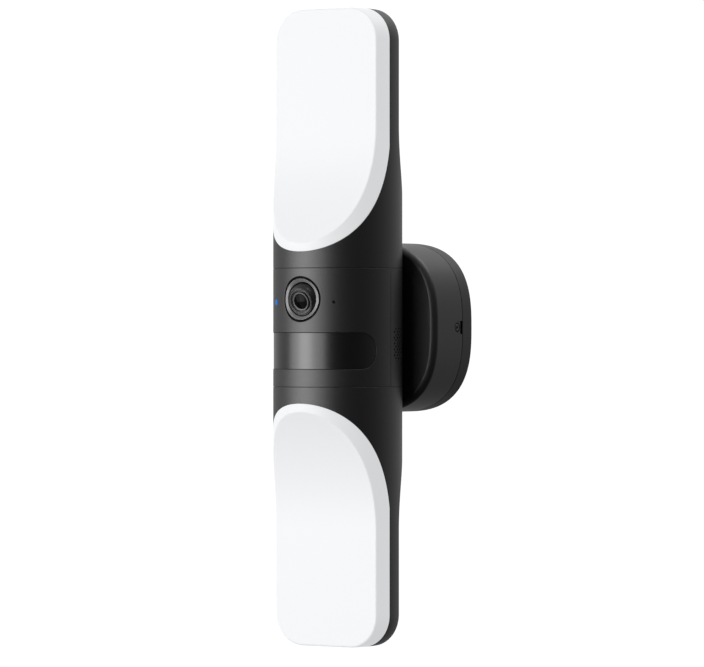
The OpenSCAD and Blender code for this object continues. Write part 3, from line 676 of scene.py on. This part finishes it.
def lamp_shell_skin():
    """Upper rows run back from the scooped seam, and lower rows from the body's front."""
    skin = Skin()
    bottom = LAMP_LOW + LIP

    def surface(t, radius, lip):
        heights = scoop_heights(lambda z, inset: seam_y(z), t)
        kinds = [(SIDE, z, z) for z in heights] + [(k, v, v) for k, v in upper_stations()]
        upper = edge_rows(kinds, seam_side(0, t), back_y, 1, t, radius, SHELL_BAND, lip)
        low_zs = [bottom + (heights[0] - bottom) * i / LOW_STEPS for i in range(LOW_STEPS)]
        lower = edge_rows([(SIDE, z, z) for z in low_zs], lambda k, v: -(R - t), back_y, 1, t,
                          radius, SHELL_BAND, 0.0)
        return upper, lower

    upper, lower = surface(0.0, 1.8, 0.22)
    extra = len(upper[0]) - len(lower[0])
    out_upper = skin.rows(upper)
    lips = [pulled_in(lower[0], LIP, LAMP_LOW),
            pulled_in(lower[0], LIP * 0.3, LAMP_LOW + LIP * 0.3)]
    out_lower = skin.rows(lips + lower)
    skin.strip(out_lower[-1], out_upper[0][extra:])
    in_upper_rows, in_lower_rows = surface(SHELL_WALL, 0.3, 0.0)
    in_upper = skin.rows(in_upper_rows)
    floor = [Vector((p.x, p.y, LAMP_LOW)) for p in in_lower_rows[0]]
    in_lower = skin.rows([floor] + in_lower_rows)
    skin.strip(in_lower[-1], in_upper[0])
    skin.strip([r[0] for r in out_upper], [r[0] for r in in_upper])
    skin.strip(out_lower[0], in_lower[0])
    skin.mirrored()
    return skin


for side, flip in (("upper", False), ("lower", True)):
    piece(f"{side}_diffuser_cover", diffuser_skin(), "diffuser_white", flip_z=flip,
          stands_for=[f"{side}_diffuser"], sharp=50)
    piece(f"{side}_lamp_housing", lamp_shell_skin(), "shell_black", flip_z=flip,
          stands_for=[f"{side}_lamp_shell"], sharp=50)


# ---------- Camera section covers ----------

class Wrap:
    """A flat sheet (u, z) bent round a half outline: u is the length along it, and where(u)
    gives the point and its outward normal."""

    def __init__(self, where):
        self.where = where

    def at(self, u, z, depth):
        p, n = self.where(u)
        return Vector((p[0] - n[0] * depth, p[1] - n[1] * depth, z))


def round_wrap():
    def where(u):
        n = (sin(u / R), -cos(u / R))
        return (R * n[0], R * n[1]), n
    return Wrap(where)


BACK_FILLET = 3.2


def rear_wrap():
    """Round side, soft corner, flat back, soft corner and the other side. u = 0 is the back's
    middle, and u grows towards -x as seen from behind, that is from +x round the back."""
    inner = R - BACK_FILLET
    turn = acos((MID_BACK - BACK_FILLET) / inner)  # of the fillet's centre from +y
    flat = inner * sin(turn)  # half width of the flat back
    fillet = BACK_FILLET * turn

    def where(u):
        s = abs(u)
        if s <= flat:
            p, n = (s, MID_BACK), (0.0, 1.0)
        elif s <= flat + fillet:
            a = (s - flat) / BACK_FILLET
            n = (sin(a), cos(a))
            p = (flat + BACK_FILLET * n[0], MID_BACK - BACK_FILLET + BACK_FILLET * n[1])
        else:
            a = turn + (s - flat - fillet) / R
            n = (sin(a), cos(a))
            p = (R * n[0], R * n[1])
        sign = 1 if u >= 0 else -1
        return (p[0] * sign, p[1]), (n[0] * sign, n[1])

    def along(angle):
        """u at an angle from the front, positive towards +x."""
        from_back = pi - abs(angle)
        return copysign(flat + fillet + (from_back - turn) * R, angle)

    made = Wrap(where)
    made.along = along
    made.breaks = [flat, flat + fillet]
    return made


def circle(u, z, r, count=32):
    """Outline of a round hole, as a function of how far outside it to run."""
    return lambda grow: [(u + (r + grow) * cos(2 * pi * i / count),
                          z + (r + grow) * sin(2 * pi * i / count))
                         for i in range(count)]


def stadium(u, z, half_long, half, steps=16, run=22):
    """A slot's outline: straight runs with round ends. half_long reaches the ends' centres."""
    def loop(grow):
        r = half + grow
        out = []
        for way in (1, -1):
            for i in range(steps + 1):
                a = -pi / 2 + pi * i / steps
                out.append((u + way * (half_long + r * cos(a)), z + way * r * sin(a)))
            for i in range(1, run):
                out.append((u + way * (half_long - 2 * half_long * i / run), z + way * r))
        return out
    return loop


def frame_loop(half_u, half_z, nu, nz):
    """The sheet's own outline, grow outside it."""
    def loop(grow):
        a, b = half_u + grow, half_z + grow
        out = []
        for way in (1, -1):
            out += [(way * (-a + 2 * a * i / nu), -way * b) for i in range(nu)]
            out += [(way * a, way * (-b + 2 * b * i / nz)) for i in range(nz)]
        return out
    return loop


ROUND_STEPS = 4  # over a rounded lip
FILL_CLEAR = 0.45  # no fill point lies nearer a hole than this


def sheet_skin(wrap, outline, holes, thickness, fill, lip=LIP):
    """A bent sheet of the given thickness. holes lists (loop, lip radius, steps), where steps
    are extra (grow, depth) rings down the hole's wall, and the loop's inside is open."""
    skin = Skin()
    rim_flat = outline(-lip)
    loops = [rim_flat] + [loop(q) for loop, q, steps in holes]
    flat, edges = [], []
    for points in loops:
        first = len(flat)
        flat += [Vector(p) for p in points]
        edges += [(first + i, first + (i + 1) % len(points)) for i in range(len(points))]

    def inside_hole(p):
        for loop, q, steps in holes:
            points = loop(q + FILL_CLEAR)
            us = [a for a, b in points]
            zs = [b for a, b in points]
            near = min(us) < p[0] < max(us) and min(zs) < p[1] < max(zs)
            if near and winding(points, p):
                return True
        return False

    flat += [Vector(p) for p in fill if not inside_hole(p)]
    verts, _, faces, *_ = geometry.delaunay_2d_cdt(flat, edges, [], 0, 1e-6)
    kept = []
    for f in faces:
        c = sum((verts[i] for i in f), Vector((0, 0))) / len(f)
        if winding(rim_flat, c) and not any(winding(hole, c) for hole in loops[1:]):
            kept.append(f)
    outer = skin.add([wrap.at(v.x, v.y, 0) for v in verts])
    inner = skin.add([wrap.at(v.x, v.y, thickness) for v in verts])
    skin.faces += [tuple(outer[i] for i in f) for f in kept]
    skin.faces += [tuple(inner[i] for i in reversed(f)) for f in kept]

    def wall(loop, q, sign, steps):
        rings = []
        for k in range(ROUND_STEPS + 1):
            a = pi / 2 * k / ROUND_STEPS
            rings.append((sign * q * (1 - sin(a)), q * (1 - cos(a))))
        rings += steps
        if not steps:
            rings.append((0.0, thickness - q))
        rings.append((sign * q, thickness))
        skin.rows([[wrap.at(u, z, depth) for u, z in loop(grow)] for grow, depth in rings],
                  closed=True)

    wall(outline, lip, -1, [])
    for loop, q, steps in holes:
        wall(loop, q, 1, steps)
    return skin


def winding(points, p):
    """True if the point is inside the closed outline."""
    inside = False
    x, y = p[0], p[1]
    for (xi, yi), (xj, yj) in zip(points, points[-1:] + points[:-1]):
        if (yi > y) != (yj > y) and x < (xj - xi) * (y - yi) / (yj - yi) + xi:
            inside = not inside
    return inside


def fill_grid(half_u, half_z, du, dz):
    """Evenly spaced points, kept off the outline."""
    nu, nz = int(half_u * 2 / du), int(half_z * 2 / dz)
    return [(-half_u + 2 * half_u * i / nu, -half_z + 2 * half_z * k / nz)
            for i in range(1, nu) for k in range(1, nz)]


def cylinder_normal(radius):
    """A function that gives the normal on an upright cylinder, or None off it."""
    def normal_at(p):
        if abs(hypot(p.x, p.y) - radius) < ON_SURFACE:
            return Vector((p.x, p.y, 0)).normalized()
        return None
    return normal_at


round_normal = cylinder_normal(R)


def depth_in_body(p):
    """Depth of a point, in millimetres in the row frame, below the camera section's surface."""
    y = p.y + AXIS_OUT
    return min(R - hypot(p.x, y), MID_BACK - y)


front = round_wrap()
front_half = pi / 2 * R - SEAM_HALF
groove_in = RING_R + 0.15 - GROOVE_R
groove_steps = [(0.0, GROOVE_FLOOR), (groove_in, GROOVE_FLOOR), (groove_in, COVER_WALL - 0.1)]
cover_holes = [
    (circle(0, LENS_Z, GROOVE_R, 96), 0.3, groove_steps),
    (stadium(0, WINDOW_Z, WINDOW_END * R, WINDOW_HALF), 0.22, []),
    (circle(LIGHT_ANGLE * R, DOT_Z, LIGHT_R + 0.1, 32), 0.2, []),
    (circle(MIC_ANGLE * R, DOT_Z, MIC_R, 24), 0.06, []),
]
# The deeper walls of its holes get painted shade, the darker hole_black, through depth_of
piece("camera_front_shell",
      sheet_skin(front, frame_loop(front_half, MID_TOP, 96, 40), cover_holes, COVER_WALL,
                 fill_grid(front_half, MID_TOP, 1.6, 1.8)),
      "cover_black", stands_for=["camera_front_cover"], normal_at=round_normal, sharp=40,
      depth_of=depth_in_body)

rear = rear_wrap()
rear_half = rear.along(pi / 2) - SEAM_HALF
rear_holes = []
for column in range(-4, 5):
    top = 4 if column % 2 == 0 else 5
    u = rear.along(SPEAKER_ANGLE + GRILLE_STEP * column)
    for row in range(-top, top + 1, 2):
        rear_holes.append((circle(u, SPEAKER_Z + GRILLE_ROW * row, GRILLE_HOLE_R, 20), 0.04, []))
rear_holes += [
    (circle(rear.along(BUTTON_ANGLE), BUTTON_Z, BUTTON_R + 0.12, 64), 0.25, []),
    (circle(0, 0, NECK_HOLE_R, 64), 0.3, []),
]


def rear_fill():
    """Fill points whose columns also run along the corners of the back."""
    marks = [0.0, *rear.breaks, rear_half]
    columns = []
    for a, b, count in zip(marks, marks[1:], (12, 5, 20)):
        columns += [a + (b - a) * i / count for i in range(count)]
    heights = [-MID_TOP + 2 * MID_TOP * k / 36 for k in range(1, 36)]
    return [(sign * u, z) for u in columns for sign in ((1, -1) if u else (1,)) for z in heights]


def rear_normal(p):
    """Normal on the rear cover's round sides, flat back or the corners between them."""
    found = round_normal(p)
    if found is None and abs(p.y - MID_BACK) < ON_SURFACE:
        return Vector((0, 1, 0))
    if found is None:
        middle = Vector((copysign(rear.breaks[0], p.x), MID_BACK - BACK_FILLET))
        away = Vector((p.x, p.y)) - middle
        if abs(away.length - BACK_FILLET) < ON_SURFACE:
            return Vector((away.x, away.y, 0)).normalized()
    return found


# The deeper walls of its holes get painted shade, the darker hole_black, through depth_of
piece("camera_rear_shell",
      sheet_skin(rear, frame_loop(rear_half, MID_TOP, 132, 40), rear_holes, COVER_WALL,
                 rear_fill()),
      "housing_black", stands_for=["camera_rear_housing"], normal_at=rear_normal, sharp=40,
      depth_of=depth_in_body)


# ---------- Sensor window, light, button ----------

def plug_skin(wrap, loop, top, bottom, lip, centre, inner_scales=10):
    """A solid that fills a hole: rings from its rounded rim in to the middle."""
    rings = [(-lip * (1 - sin(a)), top + lip * (1 - cos(a)))
             for a in [pi / 2 * k / ROUND_STEPS for k in range(ROUND_STEPS, -1, -1)]]
    skin = Skin()
    rim_points = loop(0)
    rows = [[wrap.at(u, z, bottom) for u, z in rim_points]]
    for grow, depth in rings:
        rows.append([wrap.at(u, z, depth) for u, z in loop(grow)])
    inside = loop(-lip)
    for i in range(1, inner_scales):
        f = 1 - i / inner_scales
        rows.append([wrap.at(*centre(u, z, f), top) for u, z in inside])
    made = skin.rows(rows, closed=True)
    last = skin.add([wrap.at(*centre(u, z, 0), top) for u, z in inside])
    skin.strip(made[-1], last, True)
    bottom_last = skin.add([wrap.at(*centre(u, z, 0), bottom) for u, z in rim_points])
    skin.strip(made[0], bottom_last, True)
    return skin


def to_spine(half_long, u0, z0):
    """Shrinks a slot's outline onto its middle line, which is a point if half_long is 0."""
    def centre(u, z, f):
        spine = max(-half_long, min(half_long, u - u0))
        return u0 + spine + (u - u0 - spine) * f, z0 + (z - z0) * f
    return centre


WINDOW_SUNK = 0.3  # below the cover's surface
window_edge = stadium(0, WINDOW_Z, WINDOW_END * R, WINDOW_HALF - 0.09, 24, 64)
piece("sensor_window_cover",
      plug_skin(front, window_edge, WINDOW_SUNK, bottom=2.4, lip=0.25,
                centre=to_spine(WINDOW_END * R, 0, WINDOW_Z)),
      "window_black", stands_for=["sensor_window"], normal_at=cylinder_normal(R - WINDOW_SUNK))


def dome_skin(wrap, u0, z0, r, top, low, bottom, rings=8, count=48):
    """A shallow lens in a round hole: top and low are the depths of its middle and its edge."""
    rows = [[wrap.at(u, z, bottom) for u, z in circle(u0, z0, edge, count)(0)] for edge in (0, r)]
    for i in range(rings + 1):
        f = i / rings
        depth = low + (top - low) * (1 - (1 - f) ** 2) ** 0.5 if f < 1 else top
        rows.append([wrap.at(u, z, depth)
                     for u, z in circle(u0, z0, r * cos(f * pi / 2), count)(0)])
    skin = Skin()
    skin.rows(rows, closed=True)
    return skin


light = dome_skin(front, LIGHT_ANGLE * R, DOT_Z, LIGHT_R, top=-0.3, low=0.12, bottom=5.0)
piece("status_light_lens", light, "light_pipe", stands_for=["status_light_pipe"])

BUTTON_SUNK = 0.1
button_u = rear.along(BUTTON_ANGLE)
piece("sync_button_cap",
      plug_skin(rear, circle(button_u, BUTTON_Z, BUTTON_R, 64), BUTTON_SUNK, bottom=3.9, lip=0.3,
                centre=to_spine(0, button_u, BUTTON_Z)),
      "button_black", body="button", stands_for=["sync_button"],
      normal_at=cylinder_normal(R - BUTTON_SUNK))


# ---------- Lens ----------

TURN_COUNT = 128  # points round a turned piece


def ring_skin(profile, at):
    """Closed profile turned about the lens: at(r, depth, angle) gives each point."""
    skin = Skin()
    rows = [[at(r, d, 2 * pi * i / TURN_COUNT) for i in range(TURN_COUNT)]
            for r, d in profile]
    skin.rows(rows, closed=True)
    return skin


def on_lens(r, d, a):
    """Point of a part turned about the tilted lens, d in front of the pivot."""
    local = Vector((r * sin(a), -d, r * cos(a)))
    local = Matrix.Rotation(LENS_TILT, 3, "X") @ local
    return local + Vector((0, -PIVOT_OUT, LENS_Z))


def lens_piece(name, profile, slot, cad_node, sharp=50, look=None):
    """A piece that is turned about the lens and tilts with it."""
    piece(name, ring_skin(profile, on_lens), slot, body="lens_module", stands_for=[cad_node],
          sharp=sharp, look=look)


def arc_profile(r, d0, start, end, steps):
    """Profile points on a sphere of radius r whose centre is d0 in front of the pivot."""
    return [(r * sin(a), d0 + r * cos(a))
            for a in [start + (end - start) * i / steps for i in range(steps + 1)]]


def on_ring(r, drop, a):
    """Point of the fixed ring: its outer edge follows the round body, its inner edge is level.
    drop is the depth below that sloping face, or None at the ring's rear."""
    x, z = r * sin(a), LENS_Z + r * cos(a)
    if drop is None:
        return Vector((x, -RING_REAR, z))
    edge_x = RING_R * sin(a)
    outer = -sqrt((R - RING_SUNK) ** 2 - edge_x * edge_x)
    k = (RING_R - r) / (RING_R - RING_IN)
    return Vector((x, outer + (-RING_LEVEL - outer) * k + drop, z))


RING_IN = 10.5
RING_SUNK = 0.1  # its outer edge lies this far inside the body's surface
RING_LEVEL, RING_REAR = 37.95, 36.8  # of its inner edge and its back, in front of the axis
# Profiles pair a radius with a distance in front of the pivot, or with the drop below the
# ring's face.
ring_profile = [(RING_R, None), (RING_R, 0.3), (12.56, 0.12), (12.45, 0.02), (12.3, 0.0),
                (11.9, 0.0), (11.5, 0.0), (11.1, 0.0), (10.8, 0.0), (10.64, 0.03),
                (10.54, 0.12), (RING_IN, 0.3), (RING_IN, None), (RING_R, None)]
piece("lens_ring", ring_skin(ring_profile, on_ring), "lens_ring", stands_for=["lens_bezel"],
      sharp=50)

BALL_BACK = radians(124)  # where the ball's shell ends, from its front
rim_angle = asin(8.53 / BALL_R)
ball_profile = (arc_profile(BALL_R, 0.0, BALL_BACK, rim_angle, 40)
                + [(8.43, 6.32), (8.3, 6.31), (8.15, 6.24), (8.1, 6.0), (8.1, -5.6), (8.4, -5.93)])
ball_profile.append(ball_profile[0])
lens_piece("lens_eyeball", ball_profile, "lens_ball", "lens_ball")

RIBS, RIB_PITCH, RIB_NARROWS = 5, 0.42, 0.24
ribs = []
for i in range(RIBS):
    r = 7.25 - i * RIB_NARROWS
    d = RIM_OUT - 0.06 - i * RIB_PITCH
    ribs += [(r, d), (r, d - 0.34), (r - 0.05, d - 0.4)]
groove_floor = RIM_OUT - RIBS * RIB_PITCH
barrel_profile = [(8.0, -5.6), (8.0, 6.12), (7.92, 6.26), (7.8, RIM_OUT), (7.42, RIM_OUT), (7.3, 6.3)]
barrel_profile += ribs + [(6.2, groove_floor), (5.9, groove_floor), (5.9, -5.6), (8.0, -5.6)]
lens_piece("lens_hood", barrel_profile, "lens_barrel", "lens_barrel", sharp=40)
retainer_profile = [(5.86, groove_floor - 0.5), (5.86, RIM_OUT - 0.36), (5.78, RIM_OUT - 0.2),
                    (5.62, RIM_OUT - 0.11), (5.4, RIM_OUT - 0.1), (4.86, RIM_OUT - 0.27),
                    (4.74, RIM_OUT - 0.36), (4.7, RIM_OUT - 0.5), (4.7, RIM_OUT - 3),
                    (5.86, RIM_OUT - 3), (5.86, groove_floor - 0.5)]
lens_piece("lens_retainer", retainer_profile, "lens_barrel", "lens_barrel", look="lens_retainer")

DOME_R = 14.0  # of the glass's curved front
SEAT = RIM_OUT - 0.5
crown = DOME_R - sqrt(DOME_R ** 2 - GLASS_R ** 2)
dome_end = asin((GLASS_R - 0.06) / DOME_R)
glass_profile = (arc_profile(DOME_R, SEAT - DOME_R + crown, 1e-4, dome_end, 20)
                 + [(GLASS_R, SEAT - 0.06), (GLASS_R, SEAT - 1.6), (1e-3, SEAT - 1.6)])
lens_piece("lens_front_glass", glass_profile, "lens_glass", "lens_glass", sharp=60)


# ---------- Base ----------

LOOP = 320  # points round the base's rings
INNER_HALF = 22  # of the ring between a round hole and the square outline


def soft_square(half, a):
    """Point (x, z) of the base's outline at an angle."""
    c, s = abs(cos(a)), abs(sin(a))
    d = half / (c ** BASE_N + s ** BASE_N) ** (1 / BASE_N)
    return d * cos(a), d * sin(a)


def base_ring(half, y):
    outline = (soft_square(half, 2 * pi * i / LOOP) for i in range(LOOP))
    return [(x, y, z) for x, z in outline]


def hole_ring(r, y):
    return [(x, y, z) for x, z in circle(0, 0, r, LOOP)(0)]


def base_skin():
    skin = Skin()
    inside = -BASE_D + BASE_WALL
    rows = [hole_ring(NECK_HOLE_R, inside), hole_ring(NECK_HOLE_R, -BASE_D)]
    rows += [base_ring(h, -BASE_D) for h in (INNER_HALF, 32, 42, 48)]
    for k in range(17):
        a = pi / 2 * k / 16
        rows.append(base_ring(BASE_HALF - EDGE_OVER * (1 - sin(a) ** (2 / EDGE_N)),
                              -BASE_D + EDGE_OVER * (1 - max(cos(a), 0) ** (2 / EDGE_N))))
    depth = BASE_D - EDGE_OVER - HOUSING_BACK - LIP
    rows += [base_ring(BASE_HALF, -BASE_D + EDGE_OVER + depth * i / 16) for i in range(1, 17)]
    rows += [base_ring(BASE_HALF - LIP * 0.3, -HOUSING_BACK - LIP * 0.3),
             base_ring(BASE_HALF - LIP, -HOUSING_BACK),
             base_ring(BASE_HALF - BASE_WALL, -HOUSING_BACK),
             base_ring(BASE_HALF - BASE_WALL, inside),
             base_ring(INNER_HALF, inside), hole_ring(NECK_HOLE_R, inside)]
    skin.rows(rows, closed=True)
    return skin


def side_box(sign, x0, x1, y0, y1, half_z):
    """A cutting box on one side, from x0 to x1 off the middle."""
    a, b = sorted((sign * x0, sign * x1))
    return cutter(Skin().block((a, y0, -half_z), (b, y1, half_z)))


def screw_bore(x0, x1, r):
    """A round cutter about the side screws' axis."""
    ring = circle(-SCREW_OUT, 0, r, 64)(0)
    return cutter(Skin().capped([[(x, y, z) for y, z in ring] for x in (x0, x1)]))


PAST_BASE = BASE_HALF + 1
NOTCH_END = -9.0  # beyond the housing's back edge
base_cuts = []
for s in (1, -1):
    base_cuts += [screw_bore(s * 51.4, s * PAST_BASE, 3.1),
                  screw_bore(s * 48, s * 52, 2.1),
                  side_box(s, 52.55, PAST_BASE, -SCREW_OUT, NOTCH_END, NOTCH_HALF),
                  side_box(s, 49, PAST_BASE, -12.15, NOTCH_END, NOTCH_HALF)]
piece("base_shell", base_skin(), "base_black", stands_for=["base_housing"], sharp=30,
      in_wall_frame=True, cut=base_cuts)


def plate_skin():
    """The plate with its gasket groove at the wall, its raised lip and two tabs for the screws."""
    skin = Skin()
    lip_in, cup, groove_out, groove_deep = BASE_HALF - 2.9, BASE_HALF - 4.4, BASE_HALF - 1.4, 1.6
    lip_top = -PLATE_D - 4
    rows = [hole_ring(9, -PLATE_FLOOR), hole_ring(9, 0), base_ring(INNER_HALF, 0),
            base_ring(cup, 0), base_ring(cup, -groove_deep), base_ring(groove_out, -groove_deep),
            base_ring(groove_out, 0), base_ring(BASE_HALF - LIP, 0),
            base_ring(BASE_HALF - LIP * 0.3, -LIP * 0.3), base_ring(BASE_HALF, -LIP)]
    rows += [base_ring(BASE_HALF, -LIP - (PLATE_D - 2 * LIP) * i / 6) for i in range(1, 7)]
    rows += [base_ring(BASE_HALF - LIP * 0.3, -PLATE_D + LIP * 0.3),
             base_ring(BASE_HALF - LIP, -PLATE_D), base_ring(lip_in, -PLATE_D),
             base_ring(lip_in, lip_top), base_ring(cup, lip_top), base_ring(cup, -PLATE_FLOOR),
             base_ring(INNER_HALF, -PLATE_FLOOR), hole_ring(9, -PLATE_FLOOR)]
    skin.rows(rows, closed=True)
    tab_in, tab_out, tab_half = 42.5, 49, 5
    for low, high in ((tab_in, tab_out), (-tab_out, -tab_in)):
        skin.block((low, -20.3, -tab_half), (high, -PLATE_FLOOR + 0.1, tab_half))
    return skin


def slot_cutter(z, half_wide, half_long):
    """An upright slot through the plate's floor."""
    ring = stadium(z, 0, half_long - half_wide, half_wide, run=1)(0)
    return cutter(Skin().capped([[(x, y, q) for q, x in ring] for y in (-5, 1)]))


BOX_SCREW_Z = 39.7  # half the distance between a junction box's screws
plate_cuts = [slot_cutter(s * BOX_SCREW_Z, 2.2, 7) for s in (1, -1)]
plate_cuts += [side_box(s, 47, 52, -20, -PLATE_D - 0.02, 7) for s in (1, -1)]
piece("base_plate", plate_skin(), "plate_black", stands_for=["wall_plate"], sharp=30,
      in_wall_frame=True, cut=plate_cuts)


def side_screw_skin(sign):
    """A pan-headed screw with a hexagon socket, along x."""
    seat = BASE_HALF - 1.6
    top = seat + 1.3
    stem_r, head_r, hex_half, hex_deep, count = 1.85, 2.35, 0.85, 0.9, 60
    profile = [(0.0001, 41.0), (stem_r, 41.0), (stem_r, seat), (head_r, seat), (head_r, top - 0.35),
               (2.27, top - 0.12), (2.05, top), (1.05, top), (0.98, top - 0.08)]
    angles = [2 * pi * i / count for i in range(count)]
    rows = [[(x, r) for a in angles] for r, x in profile]
    for x, k in ((top - 0.1, 1), (top - hex_deep, 1), (top - hex_deep, 0)):
        rows.append([(x, k * hex_half / cos((a + pi / 6) % (pi / 3) - pi / 6))
                     for a in angles])
    skin = Skin()
    skin.rows([[(sign * x, -SCREW_OUT + r * cos(a), r * sin(a))
                for a, (x, r) in zip(angles, row)] for row in rows], closed=True)
    return skin


both_screws = side_screw_skin(1)
both_screws.join(side_screw_skin(-1))
piece("base_side_screws", both_screws, "side_screw", stands_for=["side_screws"], sharp=30,
      in_wall_frame=True)


# ---------- Camera, light and floor ----------

scene = bpy.context.scene
VIEW_ANGLE = radians(35.3)
# Place, focal length and shift are set so that the render lies over the photograph.
camera_data = bpy.data.cameras.new("camera")
camera_data.lens = 249.25
camera_data.sensor_width = 36
camera_data.shift_x = 0.02024
camera_data.shift_y = -0.00852
camera_data.clip_start, camera_data.clip_end = 0.1, 50
camera = bpy.data.objects.new("camera", camera_data)
camera.location = (1.7451, -2.5347, 0)
camera.rotation_euler = (pi / 2, 0, VIEW_ANGLE)
scene.collection.objects.link(camera)
scene.camera = camera
scene.view_settings.view_transform = "Standard"

CENTRE = Vector((0, -AXIS_OUT * MM, 0))


def softbox(name, azimuth, elevation, distance, size_x, size_y, radiance):
    """An area light that faces the object. Azimuth 0 is in front and positive towards +x.

    The distance and sizes are in metres.
    """
    data = bpy.data.lights.new(name, "AREA")
    data.shape = "RECTANGLE"
    data.size, data.size_y = size_x, size_y
    data.energy = radiance * pi * size_x * size_y
    made = bpy.data.objects.new(name, data)
    a, e = radians(azimuth), radians(elevation)
    way = Vector((sin(a) * cos(e), -cos(a) * cos(e), sin(e)))
    made.location = CENTRE + way * distance
    made.rotation_mode = "QUATERNION"
    made.rotation_quaternion = way.to_track_quat("Z", "Y")
    made.visible_camera = False
    scene.collection.objects.link(made)
    return made


softbox("key", -23, 3, 2.0, 2.8, 2.0, 2.1)
softbox("key_core", -25, 3, 1.95, 0.9, 2.0, 2.5)
softbox("low_fill", -25, -38, 2.0, 1.5, 1.0, 0.8)
softbox("overhead", 130, 65, 1.8, 1.4, 1.4, 2.6)

world = bpy.data.worlds.new("studio")
scene.world = world
world.use_nodes = True
world_tree = world.node_tree
coords = node(world_tree, "ShaderNodeTexCoord")


def facing(direction):
    """How far each direction of the world points along the given one."""
    made = node(world_tree, "ShaderNodeVectorMath", operation="DOT_PRODUCT")
    feed(made, {0: coords.outputs["Generated"], 1: direction})
    return made.outputs["Value"]


def worked(operation, *values):
    """The result of a Math node with the given sockets and numbers."""
    made = node(world_tree, "ShaderNodeMath", operation=operation)
    feed(made, dict(enumerate(values)))
    return made.outputs[0]


# The world's light is brightest behind the object at -x, and grows towards the top. Camera rays
# see a plain screen instead, white at the photograph's angle and pale grey at the others.
bearing = radians(-145)
lit_side = worked("MULTIPLY_ADD", facing((sin(bearing), -cos(bearing), 0)), 0.5, 0.5)
level = worked("MULTIPLY_ADD", worked("POWER", lit_side, 1.7), 0.64, 0.03)
lift = worked("MULTIPLY_ADD", facing((0, 0, 0.85)), 1.0, 1.0)
shown = node(world_tree, "ShaderNodeMapRange", interpolation_type="SMOOTHSTEP")
feed(shown, {"Value": lit_side, "From Min": 0.78, "From Max": 0.98,
             "To Min": 0.78, "To Max": 1.05})
seen = node(world_tree, "ShaderNodeLightPath")
pick = node(world_tree, "ShaderNodeMix", data_type="FLOAT")
feed(pick, {"Factor": seen.outputs["Is Camera Ray"], "A": worked("MULTIPLY", level, lift),
            "B": shown.outputs["Result"]})
feed(world_tree.nodes["Background"], {"Color": (1, 1, 1, 1), "Strength": pick.outputs["Result"]})

floor_mesh = bpy.data.meshes.new("floor")
bm = bmesh.new()
bmesh.ops.create_circle(bm, cap_ends=True, radius=0.95, segments=128)
bm.to_mesh(floor_mesh)
bm.free()
floor = bpy.data.objects.new("floor", floor_mesh)
floor.location = (0, -AXIS_OUT * MM, -0.5)
scene.collection.objects.link(floor)
floor_mesh.materials.append(finish("floor_pale", (0.8, 0.8, 0.8), 0.9, vary=0.02, patch=6,
                                   grain=300))
floor.visible_diffuse = floor.visible_glossy = False
